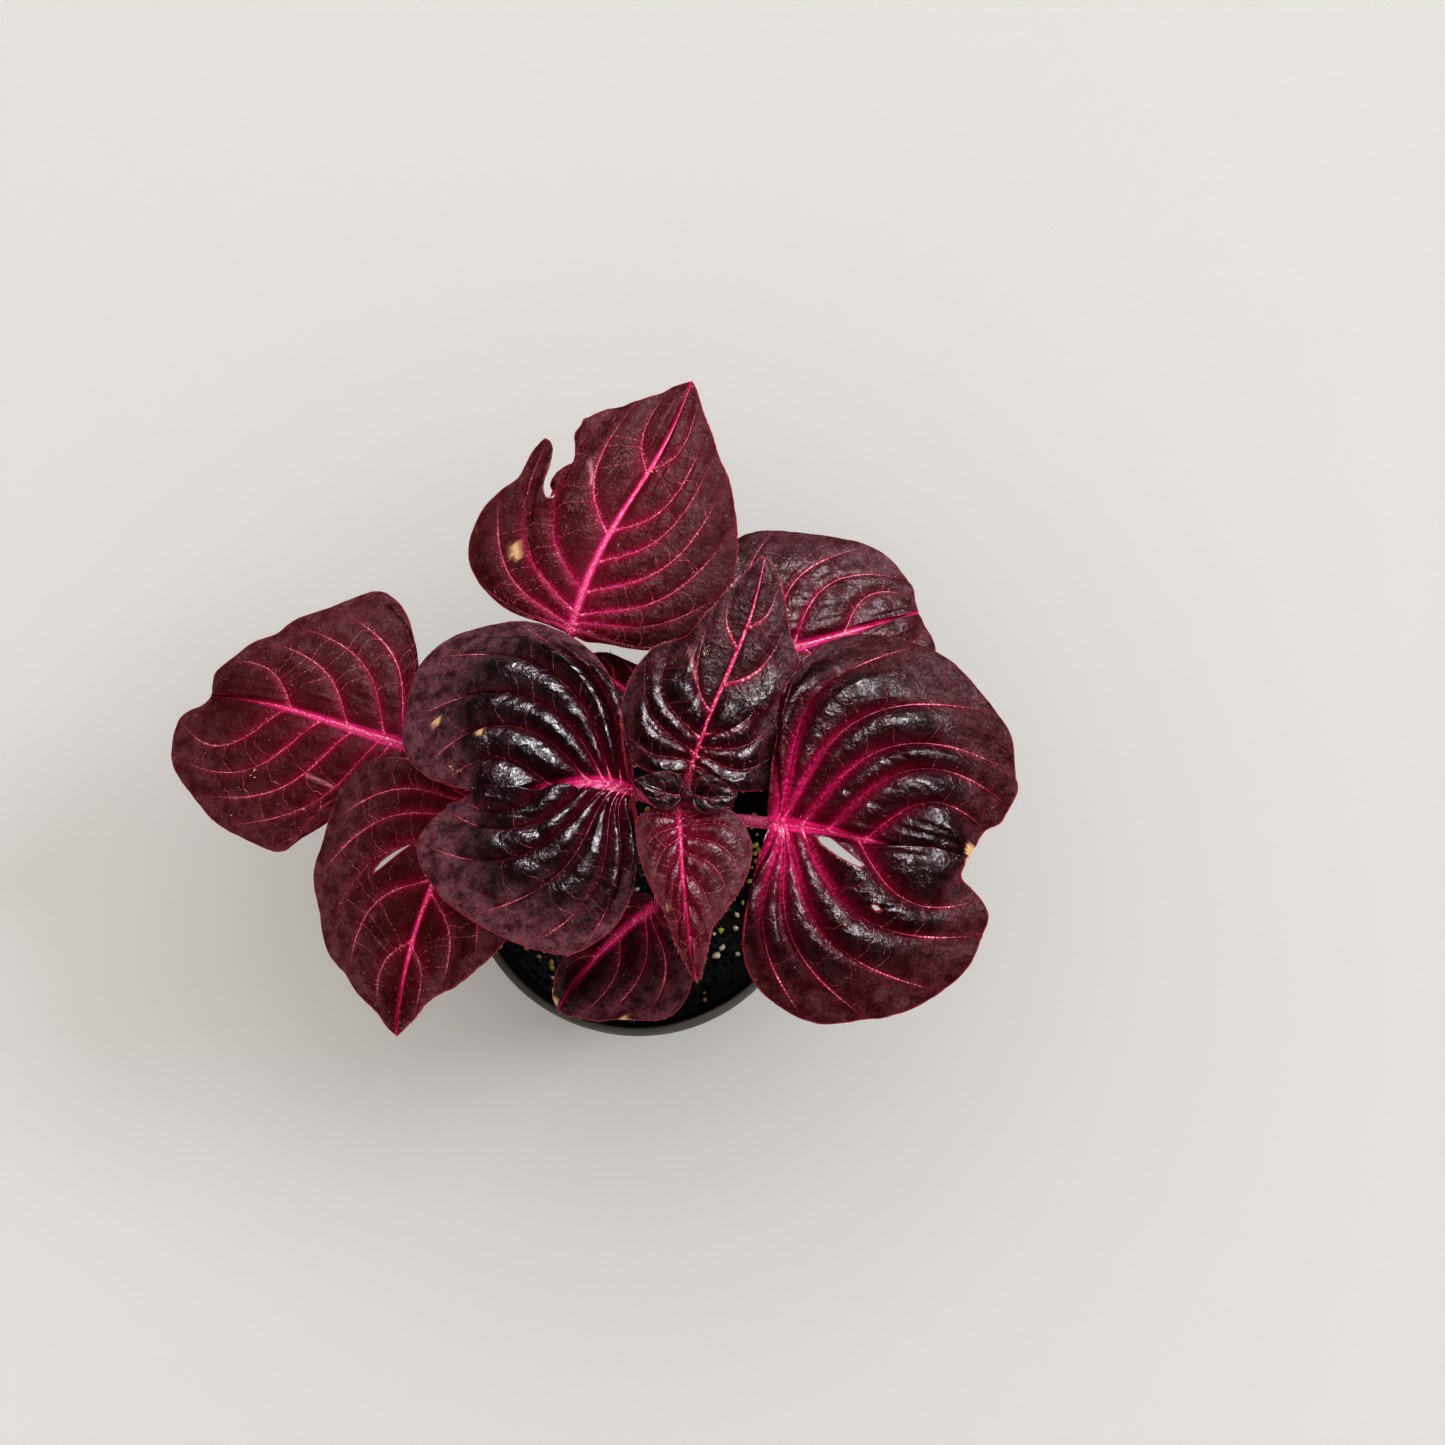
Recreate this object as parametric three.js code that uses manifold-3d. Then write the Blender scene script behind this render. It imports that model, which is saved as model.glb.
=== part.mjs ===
import * as THREE from 'three';
import { mergeVertices } from 'three/addons/utils/BufferGeometryUtils.js';
import Module from 'manifold-3d';

// A potted bloodleaf: three leafy stems in a round nursery pot.
// Millimetres. The origin is the middle of the pot's foot, +Z is up, +X right and +Y to the back.

const wasm = await Module();
wasm.setup();

// Pot
const POT_HEIGHT = 66;
const RIM_RADIUS = 38;
const RIM_INNER_RADIUS = 36.1;
const RIM_BAND_HEIGHT = 10;
const WALL_TOP_RADIUS = 35.4;
const FOOT_RADIUS = 27;
const FOOT_WIDTH = 2.6;
const FOOT_HEIGHT = 1.8;
const PAD_RADIUS = 9;
const WALL = 1.5;
const FLOOR = 1.6;
const POT_SIDES = 44;
const DRAIN_HOLES = 6;
const DRAIN_HOLE_RADIUS = 3;
const DRAIN_CIRCLE_RADIUS = 16;

// Soil
const SOIL_TOP = 57.5;
const SOIL_ROUGHNESS = 0.7;
const GRAIN_HEIGHT = 0.8;
const SOIL_SIDES = 32;
const SOIL_RINGS = 9;
const GAP = 0.3;
const HOLE_DEPTH = 8;

// Leaves
const BLADE_THICKNESS = 0.7;
const RIB_SIDES = 6;
const RIB_RADIUS = 1.15;
const RIB_TIP_RADIUS = 0.4;
const RIB_ABOVE_BLADE = 0.25;
const VEIN_ANGLE_BASE = 60;
const VEIN_ANGLE_TIP = 34;
const VEIN_LOBE_LAG = 30;
const VEIN_START = 0.27;
const VEIN_END = 0.7;
const VEIN_ALONG_MARGIN = 0.43;
const BLADE_COLUMNS = [0.16, 0.38, 0.68, 1];
const SMALL_BLADE_COLUMNS = [0.32, 0.68, 1];
const SMALL_BLADE_LENGTH = 25;
const RIB_STATIONS = [0.08, 0.2, 0.36, 0.54, 0.73, 0.92];
const SMALL_RIB_STATIONS = [0.2, 0.55, 0.92];
const MARGIN_STEPS = 12;

// Stems run through [x, y, z, radius]; the first point stands in the soil.
const STEM_SIDES = 9;
const STEM_POINTS = {
  stem_main: [
    [3.1, -0.2, 49.8, 2.2], [4.1, 0.1, 60, 2.1], [5.5, 0.4, 70, 2.1], [5.7, 0.4, 72.5, 2.6],
    [6.1, 0.5, 75, 2], [7.8, 0.8, 90, 1.9], [9.3, 1.1, 102, 1.9], [9.6, 1.1, 104.5, 2.4],
    [9.9, 1.2, 107, 1.8], [10.8, 1.3, 113, 1.7], [11.1, 1.4, 115.3, 2], [11.4, 1.4, 117.5, 1.6],
    [11.8, 1.5, 120.8, 1.3],
  ],
  stem_left: [
    [-7.5, -2.6, 49.8, 2.1], [-9.5, -1.2, 60, 2], [-13.5, 2, 73, 1.9], [-17.7, 5.6, 84.5, 1.8],
    [-18.5, 6.3, 87, 2.3], [-19.3, 7, 89.3, 1.7], [-20.9, 8.6, 93.5, 1.6], [-21.5, 9.2, 95.2, 2],
    [-22.1, 9.7, 97, 1.5], [-23.1, 10.4, 100.5, 0.8],
  ],
  stem_back: [
    [8.1, 11, 49.8, 2], [9.3, 13.5, 58, 1.9], [11.1, 18.5, 71, 1.8], [12.7, 23.8, 82, 1.7],
    [13, 25, 84.5, 2.2], [13.5, 26.5, 87, 1.6], [14.1, 28.5, 90.5, 0.9],
  ],
};

// Each leaf: the point where its petiole starts, the blade's base point, the compass heading of its
// midrib, the midrib's pitch at the base and how far it arches down, its length, the sideways bow of
// the midrib, and for the left and right halves the angle they rise by at the midrib, how far they
// curl down over the given span, and how far the margin is from the midrib line at each distance
// from the base. A vein is [share of the midrib where it leaves, share of the margin where it ends].
const LEAVES = {
  leaf_back_left: {
    from: [-21.5, 9.2, 95.2], base: [-13.1, 40.9, 99], heading: 66, rise: 15, arch: 26, length: 62,
    bow: [-0.1, 1.3], fold: [4, 4], curl: [22, 22], span: 28, roll: 0, puff: 1.5, wave: [0.5, 5, 0.4],
    left: [[0, 6], [-0.5, 13], [1, 19.5], [4, 25], [7.5, 28], [12, 29.1], [18, 28.7], [22.5, 26.8],
      [26.5, 24.6], [30.3, 24.6], [33.6, 24.6], [36.4, 23.6], [40, 20.3], [43.5, 16.8], [47.5, 13.8],
      [51, 9.6], [55, 5.6], [59, 2.8]],
    right: [[0, 4], [1, 7.5], [2, 12], [3.2, 16], [6.5, 21.2], [12.5, 25.3], [20, 26.7], [26.5, 26],
      [33, 23.6], [38, 20.8], [43.2, 17], [49.3, 11.2], [55, 6.2], [60, 2]],
    leftVeins: [[0.008, 0.24], [0.02, 0.48], [0.07, 0.66], [0.15, 0.8], [0.35, 0.87], [0.6, 0.95]],
    rightVeins: [[0.01, 0.22], [0.03, 0.45], [0.06, 0.61], [0.14, 0.73], [0.25, 0.81], [0.37, 0.87],
      [0.62, 0.95]],
    cuts: [[[39, 27], [36.4, 23.6], [34.6, 20.4], [31, 19], [27, 18.3], [24.6, 16.6], [24.5, 15.2],
      [25.4, 14.6], [26.8, 16.5], [29.2, 16.9], [31.6, 15.9], [33.8, 14.7], [36.7, 15.5],
      [39.7, 17.1], [42.8, 16.8], [46, 19], [44, 27]]],
  },
  leaf_far_left: {
    from: [-18.5, 6.3, 87], base: [-46.5, 19.7, 87.9], heading: 164.5, rise: 6, arch: 30, length: 48.4,
    bow: [-1, 0.3], fold: [6, 6], curl: [30, 30], span: 28, roll: -5, puff: 1.9, wave: [0.5, 5, 2],
    left: [[1, 5.5], [5, 9.5], [10, 13], [13.5, 16], [16.5, 20], [18.5, 24], [20.2, 27.4],
      [23.5, 29], [28.5, 28.8], [34.2, 27.6], [41, 25.3], [46.6, 22.3], [51, 18.8], [54.4, 15],
      [56, 10.7], [55.4, 6.8], [52.8, 4], [49.8, 2.2]],
    right: [[-0.5, 5], [1.9, 12.5], [5, 19], [8.5, 25.3], [12.5, 29.8], [17, 32.2], [20.6, 32.3],
      [24.3, 29.6], [29.7, 24.9], [34.6, 20.3], [39.5, 15.4], [44.6, 11.1], [47.6, 7.7],
      [49.3, 5], [49.1, 2.6]],
    leftVeins: [[0.03, 0.28], [0.08, 0.45], [0.13, 0.58], [0.26, 0.7], [0.41, 0.81], [0.59, 0.9]],
    rightVeins: [[0.01, 0.33], [0.03, 0.61], [0.12, 0.72], [0.29, 0.8], [0.56, 0.9]],
  },
  leaf_front_left: {
    from: [-21.5, 9.2, 95.2], base: [-30.5, 7, 97], heading: -110, rise: 5, arch: 40, length: 52,
    bow: [-2.4, 0], fold: [4, 4], curl: [25, 30], span: 25, roll: 0, puff: 1.5, wave: [0.5, 6, 1],
    left: [[-1, 5], [1.5, 7.5], [6, 11.8], [12, 15.2], [18.5, 16.2], [24.5, 15.4], [28.5, 13.8],
      [33.3, 11.2], [36.8, 9], [39.5, 6.5], [43, 4], [47.3, 2.5]],
    right: [[-3, 2], [-5.5, 6], [-6.5, 11.5], [-5, 18], [-3.3, 23], [-0.8, 26.3], [3, 29],
      [7.5, 30.5], [12, 30.8], [17.5, 30.5], [23, 29.7], [28, 28.2], [33.2, 25.3], [37.8, 22],
      [41.2, 18.2], [44, 13.8], [46.3, 9.4], [48.3, 5.6], [50.5, 2.8]],
    leftVeins: [[0.03, 0.25], [0.12, 0.5], [0.25, 0.68], [0.4, 0.8], [0.62, 0.92]],
    rightVeins: [[0.01, 0.3], [0.02, 0.5], [0.08, 0.63], [0.18, 0.77], [0.35, 0.85], [0.6, 0.94]],
    cuts: [[[13.2, -9.2], [16, -10.9], [19.2, -12.8], [21.6, -14.6], [19, -13.8], [16, -11.9]]],
  },
  leaf_centre_left: {
    from: [9.6, 1.1, 104.5], base: [2, 4.3, 113], heading: 178.7, rise: 11, arch: 26, length: 31.5,
    bow: [-1, -1.2], fold: [18, 18], curl: [48, 48], span: 36, roll: 0, puff: 3, wave: [0.5, 6, 0],
    left: [[1.2, 2.7], [0.3, 8], [-0.1, 13.5], [0.1, 18.2], [1.5, 23.2], [4, 26.9], [7.8, 29.8],
      [11.5, 31.5], [15.2, 31.5], [19, 30.5], [23, 28.8], [27, 26.9], [31.4, 24.6], [35.8, 21.4],
      [38.6, 17.7], [41, 13.7], [41.5, 9.8], [40.2, 6.2], [37.5, 3.8]],
    right: [[2, 3], [3.2, 8], [4, 13], [4.6, 18.6], [6.1, 23.3], [9.1, 27.7], [13.6, 31.7],
      [18.9, 34.6], [24.4, 36.4], [29.8, 36.7], [35.1, 35.9], [39.6, 34], [43.1, 30.5],
      [45.7, 25.7], [46.9, 20.9], [47.1, 16.3], [47, 12.2], [45.8, 7.8], [43, 4.2], [38, 1.8]],
    leftVeins: [[0.02, 0.22], [0.05, 0.38], [0.08, 0.5], [0.12, 0.64], [0.17, 0.84], [0.28, 0.93],
      [0.55, 0.97]],
    rightVeins: [[0.03, 0.24], [0.09, 0.47], [0.15, 0.66], [0.2, 0.79], [0.3, 0.89], [0.51, 0.94]],
  },
  leaf_back_centre: {
    from: [11.1, 1.4, 115.3], base: [12.4, 7.6, 120], heading: 71, rise: 14, arch: 18, length: 43.5,
    bow: [-1, 0.5], fold: [4, -4], curl: [30, 30], span: 22, roll: 0, puff: 1.9, wave: [0.5, 6, 1],
    left: [[-1.5, 2.5], [-3, 6.5], [-2.5, 10.5], [0, 13], [5.5, 16], [10, 17], [14.8, 16.8],
      [18.8, 15], [22, 11.8], [24, 8.8], [27, 7.6], [31.2, 6], [37.3, 3.4], [41.5, 1.5]],
    right: [[-0.8, 3.5], [-1.5, 7], [-1.2, 10.5], [0.6, 14], [3, 14.7], [6, 13.7], [8.5, 13.1],
      [11.4, 12.6], [14, 12.2], [17, 11.9], [20.6, 12], [23.4, 12.7], [26, 13.1], [29, 11],
      [31.3, 9.4], [37.2, 6.1], [42, 2.8]],
    leftVeins: [[0.02, 0.28], [0.06, 0.53], [0.13, 0.62], [0.25, 0.79], [0.55, 0.86]],
    rightVeins: [[0.01, 0.18], [0.05, 0.36], [0.09, 0.46], [0.15, 0.66], [0.38, 0.79], [0.65, 0.92]],
  },
  leaf_back_right: {
    from: [13, 25, 84.5], base: [25.7, 36.8, 96], heading: 18.7, rise: 6, arch: 30, length: 37,
    bow: [-0.8, 0], fold: [8, 8], curl: [35, 35], span: 25, roll: 0, puff: 2, wave: [0.5, 5, 0],
    left: [[-2, 3], [-3.6, 10], [-2.5, 18], [0, 25], [4, 29.5], [9, 30], [15, 28.2], [22, 25],
      [27, 21.9], [30.5, 19.2], [34, 15.2], [36.5, 11.4], [37.6, 7.5], [37.4, 3.5]],
    right: [[-1.5, 5.5], [-0.7, 12.7], [2.2, 20], [9.5, 25.5], [20, 26.5], [28.2, 23], [34.7, 17],
      [37.4, 10], [37.5, 6], [37.2, 2.7]],
    leftVeins: [[0.01, 0.3], [0.03, 0.52], [0.08, 0.78], [0.2, 0.91], [0.5, 0.96]],
    rightVeins: [[0.01, 0.3], [0.04, 0.52], [0.1, 0.74], [0.24, 0.88], [0.5, 0.95]],
  },
  leaf_right: {
    from: [9.6, 1.1, 104.5], base: [27.7, -1.6, 114], heading: -9.4, rise: 10.5, arch: 24, length: 38,
    bow: [-0.7, 0.4], fold: [26, 14], curl: [50, 46], span: 38, roll: 0, puff: 2.9, wave: [0.6, 7, 2],
    left: [[-1, 2.6], [-1.3, 9.4], [-1.6, 17], [-1.3, 22.6], [-0.1, 28.2], [2.1, 33.4], [5.2, 37.8],
      [9.3, 40.9], [14.7, 42.3], [20.4, 41.6], [26.7, 39.2], [32.2, 35.6], [36.9, 31], [40.5, 25.8],
      [42.7, 20.5], [43.8, 15.8], [43.7, 11.4], [42.3, 7.7], [39.7, 5.3]],
    right: [[-0.4, 4.4], [-1.3, 9.6], [-2, 15.1], [-2.2, 21], [-1.4, 25.8], [1, 30.5], [5.1, 33.9],
      [11, 36], [17.1, 36], [22.4, 34.5], [28.5, 31.9], [33.4, 29], [37.5, 25], [40.4, 20.1],
      [42, 15.6], [42.6, 11.7], [41.5, 8.6], [38.8, 6.2], [36.6, 4.2]],
    leftVeins: [[0.005, 0.28], [0.01, 0.54], [0.04, 0.72], [0.14, 0.83], [0.27, 0.89], [0.46, 0.95]],
    rightVeins: [[0.01, 0.25], [0.025, 0.43], [0.04, 0.55], [0.06, 0.7], [0.14, 0.83], [0.42, 0.9]],
    cuts: [[[9, -2.5], [10.7, -2], [12.9, -3.7], [15.3, -5.1], [17.6, -6.4], [17.4, -7.1],
      [15, -6.6], [11.9, -5], [9.8, -3.6]],
    [[20.2, -13.2], [21.4, -13.3], [22, -14.2], [20.8, -14]]],
  },
  leaf_front_centre: {
    from: [11.1, 1.4, 115.3], base: [10.3, -1.1, 120], heading: -83.8, rise: 2, arch: 24, length: 31.5,
    bow: [-0.6, 0], fold: [6, 6], curl: [25, 25], span: 12, roll: 0, puff: 0.9, wave: [0.4, 4, 0],
    left: [[-1, 4], [0, 9.5], [3, 12], [7, 13.2], [11.4, 12], [15.5, 9.6], [18.8, 6.8], [21.5, 4],
      [25.5, 2.6], [29.5, 1.3]],
    right: [[-1.5, 4], [-0.5, 7.6], [3, 8.6], [7, 8.2], [10, 7.6], [13, 6.6], [16.6, 5.2],
      [20.6, 3.9], [24.3, 3], [28.5, 1.4]],
    leftVeins: [[0.02, 0.25], [0.1, 0.5], [0.22, 0.66], [0.38, 0.78], [0.6, 0.9]],
    rightVeins: [[0.02, 0.25], [0.1, 0.5], [0.22, 0.66], [0.38, 0.78], [0.6, 0.9]],
  },
  leaf_low_front: {
    from: [5.7, 0.4, 72.5], base: [4.3, -12.6, 80], heading: -134.7, rise: -8, arch: 24, length: 31.4,
    bow: [-1.6, 0], fold: [10, 6], curl: [25, 25], span: 18, roll: 0, puff: 1.6, wave: [0.5, 4, 1],
    left: [[-2.5, 3], [-1.7, 9], [2, 14], [7.6, 17.4], [12.3, 18.4], [16, 17], [19, 14.3],
      [22.5, 10.6], [26, 7.2], [29.2, 3.6]],
    right: [[-1, 2.5], [1, 5], [5, 6.5], [11, 7.5], [16, 8], [21.1, 7.3], [26, 5.6], [29.2, 3.8]],
    leftVeins: [[0.01, 0.35], [0.04, 0.65], [0.08, 0.82], [0.3, 0.92]],
    rightVeins: [[0.05, 0.35], [0.15, 0.6], [0.3, 0.75], [0.5, 0.88]],
  },
  leaf_low_back: {
    from: [5.7, 0.4, 72.5], base: [11, 5.3, 78], heading: 45, rise: 12, arch: 30, length: 15,
    bow: [0.3, 0], fold: [10, 10], curl: [25, 25], span: 12, roll: 0, puff: 0.7, wave: [0.3, 4, 0],
    left: [[-0.6, 2.2], [0.8, 4.4], [3.6, 5.6], [7, 5.2], [10.5, 3.4], [13.2, 1.5]],
    right: [[-0.6, 2.2], [0.8, 4.4], [3.6, 5.6], [7, 5.2], [10.5, 3.4], [13.2, 1.5]],
    leftVeins: [[0.03, 0.3], [0.14, 0.55], [0.35, 0.75], [0.6, 0.9]],
    rightVeins: [[0.03, 0.3], [0.14, 0.55], [0.35, 0.75], [0.6, 0.9]],
  },
  leaf_low_left: {
    from: [-18.5, 6.3, 87], base: [-13.5, -0.8, 90], heading: -52, rise: 10, arch: 30, length: 17,
    bow: [0.3, 0], fold: [10, 10], curl: [25, 25], span: 12, roll: 0, puff: 0.7, wave: [0.3, 4, 0],
    left: [[-0.6, 2.4], [0.8, 4.8], [4, 6.2], [8, 5.8], [12, 3.7], [15, 1.6]],
    right: [[-0.6, 2.4], [0.8, 4.8], [4, 6.2], [8, 5.8], [12, 3.7], [15, 1.6]],
    leftVeins: [[0.03, 0.3], [0.14, 0.55], [0.35, 0.75], [0.6, 0.9]],
    rightVeins: [[0.03, 0.3], [0.14, 0.55], [0.35, 0.75], [0.6, 0.9]],
  },
  leaf_hidden_back: {
    from: [13, 25, 84.5], base: [7.5, 25.5, 88.5], heading: 143, rise: 8, arch: 30, length: 26.4,
    bow: [0.6, 0], fold: [8, 8], curl: [30, 30], span: 14, roll: 0, puff: 1.1, wave: [0.4, 4, 0],
    left: [[-0.8, 3], [0.5, 7], [5, 9.5], [11, 9.5], [17, 7], [22, 3.5]],
    right: [[-0.8, 2.5], [0.5, 5.5], [4.5, 6.8], [9, 6.4], [13, 5.3], [18, 4.4], [22, 2.8]],
    leftVeins: [[0.03, 0.3], [0.12, 0.5], [0.3, 0.7], [0.55, 0.87]],
    rightVeins: [[0.03, 0.3], [0.12, 0.5], [0.3, 0.7], [0.55, 0.87]],
  },
};

// The two youngest leaves, still small, spread left and right from the shoot's tip.
const YOUNG_LEAVES = [
  {
    from: [11.8, 1.5, 119.8], base: [10.9, 1.8, 122.4], heading: 160, rise: 16, arch: 26, length: 9.6,
    bow: [0, 0], fold: [14, 14], curl: [30, 30], span: 6, roll: 0, puff: 0.4, wave: [0, 3, 0],
    left: [[-0.2, 1.4], [1, 3], [3.4, 3.6], [6, 2.6], [8.4, 1]],
    right: [[-0.2, 1.4], [1, 3.2], [3.4, 3.9], [6, 2.8], [8.4, 1]],
    leftVeins: [[0.05, 0.35], [0.3, 0.7]],
    rightVeins: [[0.05, 0.35], [0.3, 0.7]],
  },
  {
    from: [11.8, 1.5, 119.8], base: [12.7, 2, 122.4], heading: -2, rise: 14, arch: 30, length: 8.4,
    bow: [0, 0], fold: [14, 14], curl: [30, 30], span: 6, roll: 0, puff: 0.4, wave: [0, 3, 0],
    left: [[-0.2, 1.4], [1, 3.2], [3.2, 4], [5.6, 2.9], [7.6, 1.1]],
    right: [[-0.2, 1.4], [1, 2.8], [3.2, 3.4], [5.6, 2.4], [7.6, 1]],
    leftVeins: [[0.05, 0.35], [0.3, 0.7]],
    rightVeins: [[0.05, 0.35], [0.3, 0.7]],
  },
];
const BUD_RADIUS = 1.4;
const BUD_CENTRE = [11.9, 1.9, 122.6];

// Joining and cutting closed bodies
function solidOf(geometry) {
  const bare = geometry.clone();
  bare.deleteAttribute('normal');
  bare.deleteAttribute('uv');
  const merged = mergeVertices(bare, 1e-4);
  return new wasm.Manifold(new wasm.Mesh({
    numProp: 3,
    vertProperties: new Float32Array(merged.attributes.position.array),
    triVerts: new Uint32Array(merged.index.array),
  }));
}

function geometryOf(solid) {
  const mesh = solid.getMesh();
  const geometry = new THREE.BufferGeometry();
  geometry.setAttribute('position', new THREE.BufferAttribute(new Float32Array(mesh.vertProperties), 3));
  geometry.setIndex(new THREE.BufferAttribute(new Uint32Array(mesh.triVerts), 1));
  geometry.computeVertexNormals();
  return geometry;
}

function indexedGeometry(points, triangles) {
  const geometry = new THREE.BufferGeometry();
  const numbers = points.flatMap((p) => p.toArray());
  geometry.setAttribute('position', new THREE.Float32BufferAttribute(numbers, 3));
  geometry.setIndex(triangles.flat());
  return geometry;
}

// A closed round tube through the points, with a radius at each and a flat cap at both ends.
function tube(points, radii, sides) {
  const rings = [];
  let across = new THREE.Vector3(0, 1, 0.3).normalize();
  points.forEach((point, i) => {
    const before = points[Math.max(i - 1, 0)];
    const after = points[Math.min(i + 1, points.length - 1)];
    const along = new THREE.Vector3().subVectors(after, before).normalize();
    across = across.clone().addScaledVector(along, -across.dot(along)).normalize();
    const third = new THREE.Vector3().crossVectors(along, across);
    for (let k = 0; k < sides; k += 1) {
      const angle = (2 * Math.PI * k) / sides;
      rings.push(point.clone()
        .addScaledVector(across, radii[i] * Math.cos(angle))
        .addScaledVector(third, radii[i] * Math.sin(angle)));
    }
  });
  const triangles = [];
  const last = (points.length - 1) * sides;
  for (let i = 0; i < points.length - 1; i += 1) {
    for (let k = 0; k < sides; k += 1) {
      const a = i * sides + k;
      const b = i * sides + ((k + 1) % sides);
      triangles.push([a, b, b + sides], [a, b + sides, a + sides]);
    }
  }
  const foot = rings.push(points[0].clone()) - 1;
  const head = rings.push(points[points.length - 1].clone()) - 1;
  for (let k = 0; k < sides; k += 1) {
    const next = (k + 1) % sides;
    triangles.push([foot, next, k], [head, last + k, last + next]);
  }
  return indexedGeometry(rings, triangles);
}

// Pot: a thin tapered cup with a broad rim band. It stands on a ring and a flat pad in the middle,
// and between them its floor has a circle of drain holes.
function potWallRadius(z) {
  return FOOT_RADIUS + ((WALL_TOP_RADIUS - FOOT_RADIUS) * z) / (POT_HEIGHT - RIM_BAND_HEIGHT);
}

function potGeometry() {
  const bandFoot = POT_HEIGHT - RIM_BAND_HEIGHT;
  const floorTop = FOOT_HEIGHT + FLOOR;
  const profile = [
    [0, 0],
    [PAD_RADIUS, 0],
    [PAD_RADIUS + 0.5, FOOT_HEIGHT],
    [FOOT_RADIUS - FOOT_WIDTH, FOOT_HEIGHT],
    [FOOT_RADIUS - FOOT_WIDTH, 0],
    [FOOT_RADIUS - 0.4, 0],
    [FOOT_RADIUS, 0.5],
    [potWallRadius(bandFoot), bandFoot],
    [RIM_RADIUS - 0.7, bandFoot],
    [RIM_RADIUS - 0.4, bandFoot + 0.4],
    [RIM_RADIUS, POT_HEIGHT - 0.7],
    [RIM_RADIUS - 0.3, POT_HEIGHT - 0.15],
    [RIM_RADIUS - 0.8, POT_HEIGHT],
    [RIM_INNER_RADIUS + 0.4, POT_HEIGHT],
    [RIM_INNER_RADIUS, POT_HEIGHT - 0.5],
    [potWallRadius(bandFoot) - WALL + 1.2, bandFoot + 0.6],
    [potWallRadius(bandFoot - 1.5) - WALL, bandFoot - 1.5],
    [potWallRadius(floorTop) - WALL, floorTop],
    [0, floorTop],
  ].map(([r, z]) => new THREE.Vector2(r, z));
  const cup = new THREE.LatheGeometry(profile, POT_SIDES);
  cup.rotateX(Math.PI / 2);
  let solid = solidOf(cup);
  for (let k = 0; k < DRAIN_HOLES; k += 1) {
    const angle = (2 * Math.PI * (k + 0.5)) / DRAIN_HOLES;
    const hole = new THREE.CylinderGeometry(DRAIN_HOLE_RADIUS, DRAIN_HOLE_RADIUS, 4 * FLOOR, 16);
    hole.rotateX(Math.PI / 2);
    hole.translate(DRAIN_CIRCLE_RADIUS, 0, FOOT_HEIGHT);
    hole.rotateZ(angle);
    solid = solid.subtract(solidOf(hole));
  }
  return geometryOf(solid);
}

// Soil: fills the cup, its top rough from crossed ripples, with a grain raised where they agree.
function soilHeight(x, y) {
  const edge = 1 - Math.min(1, Math.hypot(x, y) / (RIM_INNER_RADIUS - 2)) ** 4;
  const lumps = Math.sin(0.41 * x + 1.3) * Math.cos(0.37 * y) + 0.6 * Math.sin(0.83 * y - 0.55 * x + 2);
  const grains = Math.max(0, Math.sin(1.31 * x + 0.4) * Math.sin(1.17 * y + 1.1)) ** 3;
  return SOIL_TOP + edge * (SOIL_ROUGHNESS * lumps * 0.6 + GRAIN_HEIGHT * grains) - 0.5 * (1 - edge);
}

function soilGeometry(stemSolids) {
  const floorTop = FOOT_HEIGHT + FLOOR + GAP;
  const bandFoot = POT_HEIGHT - RIM_BAND_HEIGHT;
  const sideRadius = (z) => potWallRadius(z) - WALL - GAP;
  const points = [];
  const rows = [];
  for (let i = 1; i <= SOIL_RINGS; i += 1) {
    rows.push({ radius: ((sideRadius(bandFoot - 2)) * i) / SOIL_RINGS, z: null });
  }
  rows.push({ radius: sideRadius(bandFoot - 2.5), z: bandFoot - 2.5 });
  rows.push({ radius: sideRadius(floorTop), z: floorTop });
  points.push(new THREE.Vector3(0, 0, soilHeight(0, 0)));
  rows.forEach(({ radius, z }, row) => {
    for (let k = 0; k < SOIL_SIDES; k += 1) {
      const angle = (2 * Math.PI * (k + (z === null ? (row % 2) * 0.5 : 0.5))) / SOIL_SIDES;
      const x = radius * Math.cos(angle);
      const y = radius * Math.sin(angle);
      points.push(new THREE.Vector3(x, y, z === null ? soilHeight(x, y) : z));
    }
  });
  const underside = points.push(new THREE.Vector3(0, 0, floorTop)) - 1;
  const triangles = [];
  const at = (row, k) => 1 + row * SOIL_SIDES + (((k % SOIL_SIDES) + SOIL_SIDES) % SOIL_SIDES);
  for (let k = 0; k < SOIL_SIDES; k += 1) {
    triangles.push([0, at(0, k), at(0, k + 1)]);
    triangles.push([underside, at(rows.length - 1, k + 1), at(rows.length - 1, k)]);
    for (let row = 0; row < rows.length - 1; row += 1) {
      const turned = rows[row + 1].z === null ? row % 2 === 1 : false;
      if (turned) {
        triangles.push([at(row, k), at(row + 1, k + 1), at(row, k + 1)]);
        triangles.push([at(row, k), at(row + 1, k), at(row + 1, k + 1)]);
      } else {
        triangles.push([at(row, k), at(row + 1, k), at(row, k + 1)]);
        triangles.push([at(row, k + 1), at(row + 1, k), at(row + 1, k + 1)]);
      }
    }
  }
  let solid = solidOf(indexedGeometry(points, triangles));
  stemSolids.forEach((stem) => {
    solid = solid.subtract(stem);
  });
  return geometryOf(solid);
}

// Stems
function stemGeometry(rows, extra) {
  const points = rows.map(([x, y, z]) => new THREE.Vector3(x, y, z));
  if (extra > 0) {
    points[0].z -= extra;
    points[points.length - 1].z += extra;
  }
  return tube(points, rows.map((row) => row[3] + extra), STEM_SIDES);
}

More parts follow.
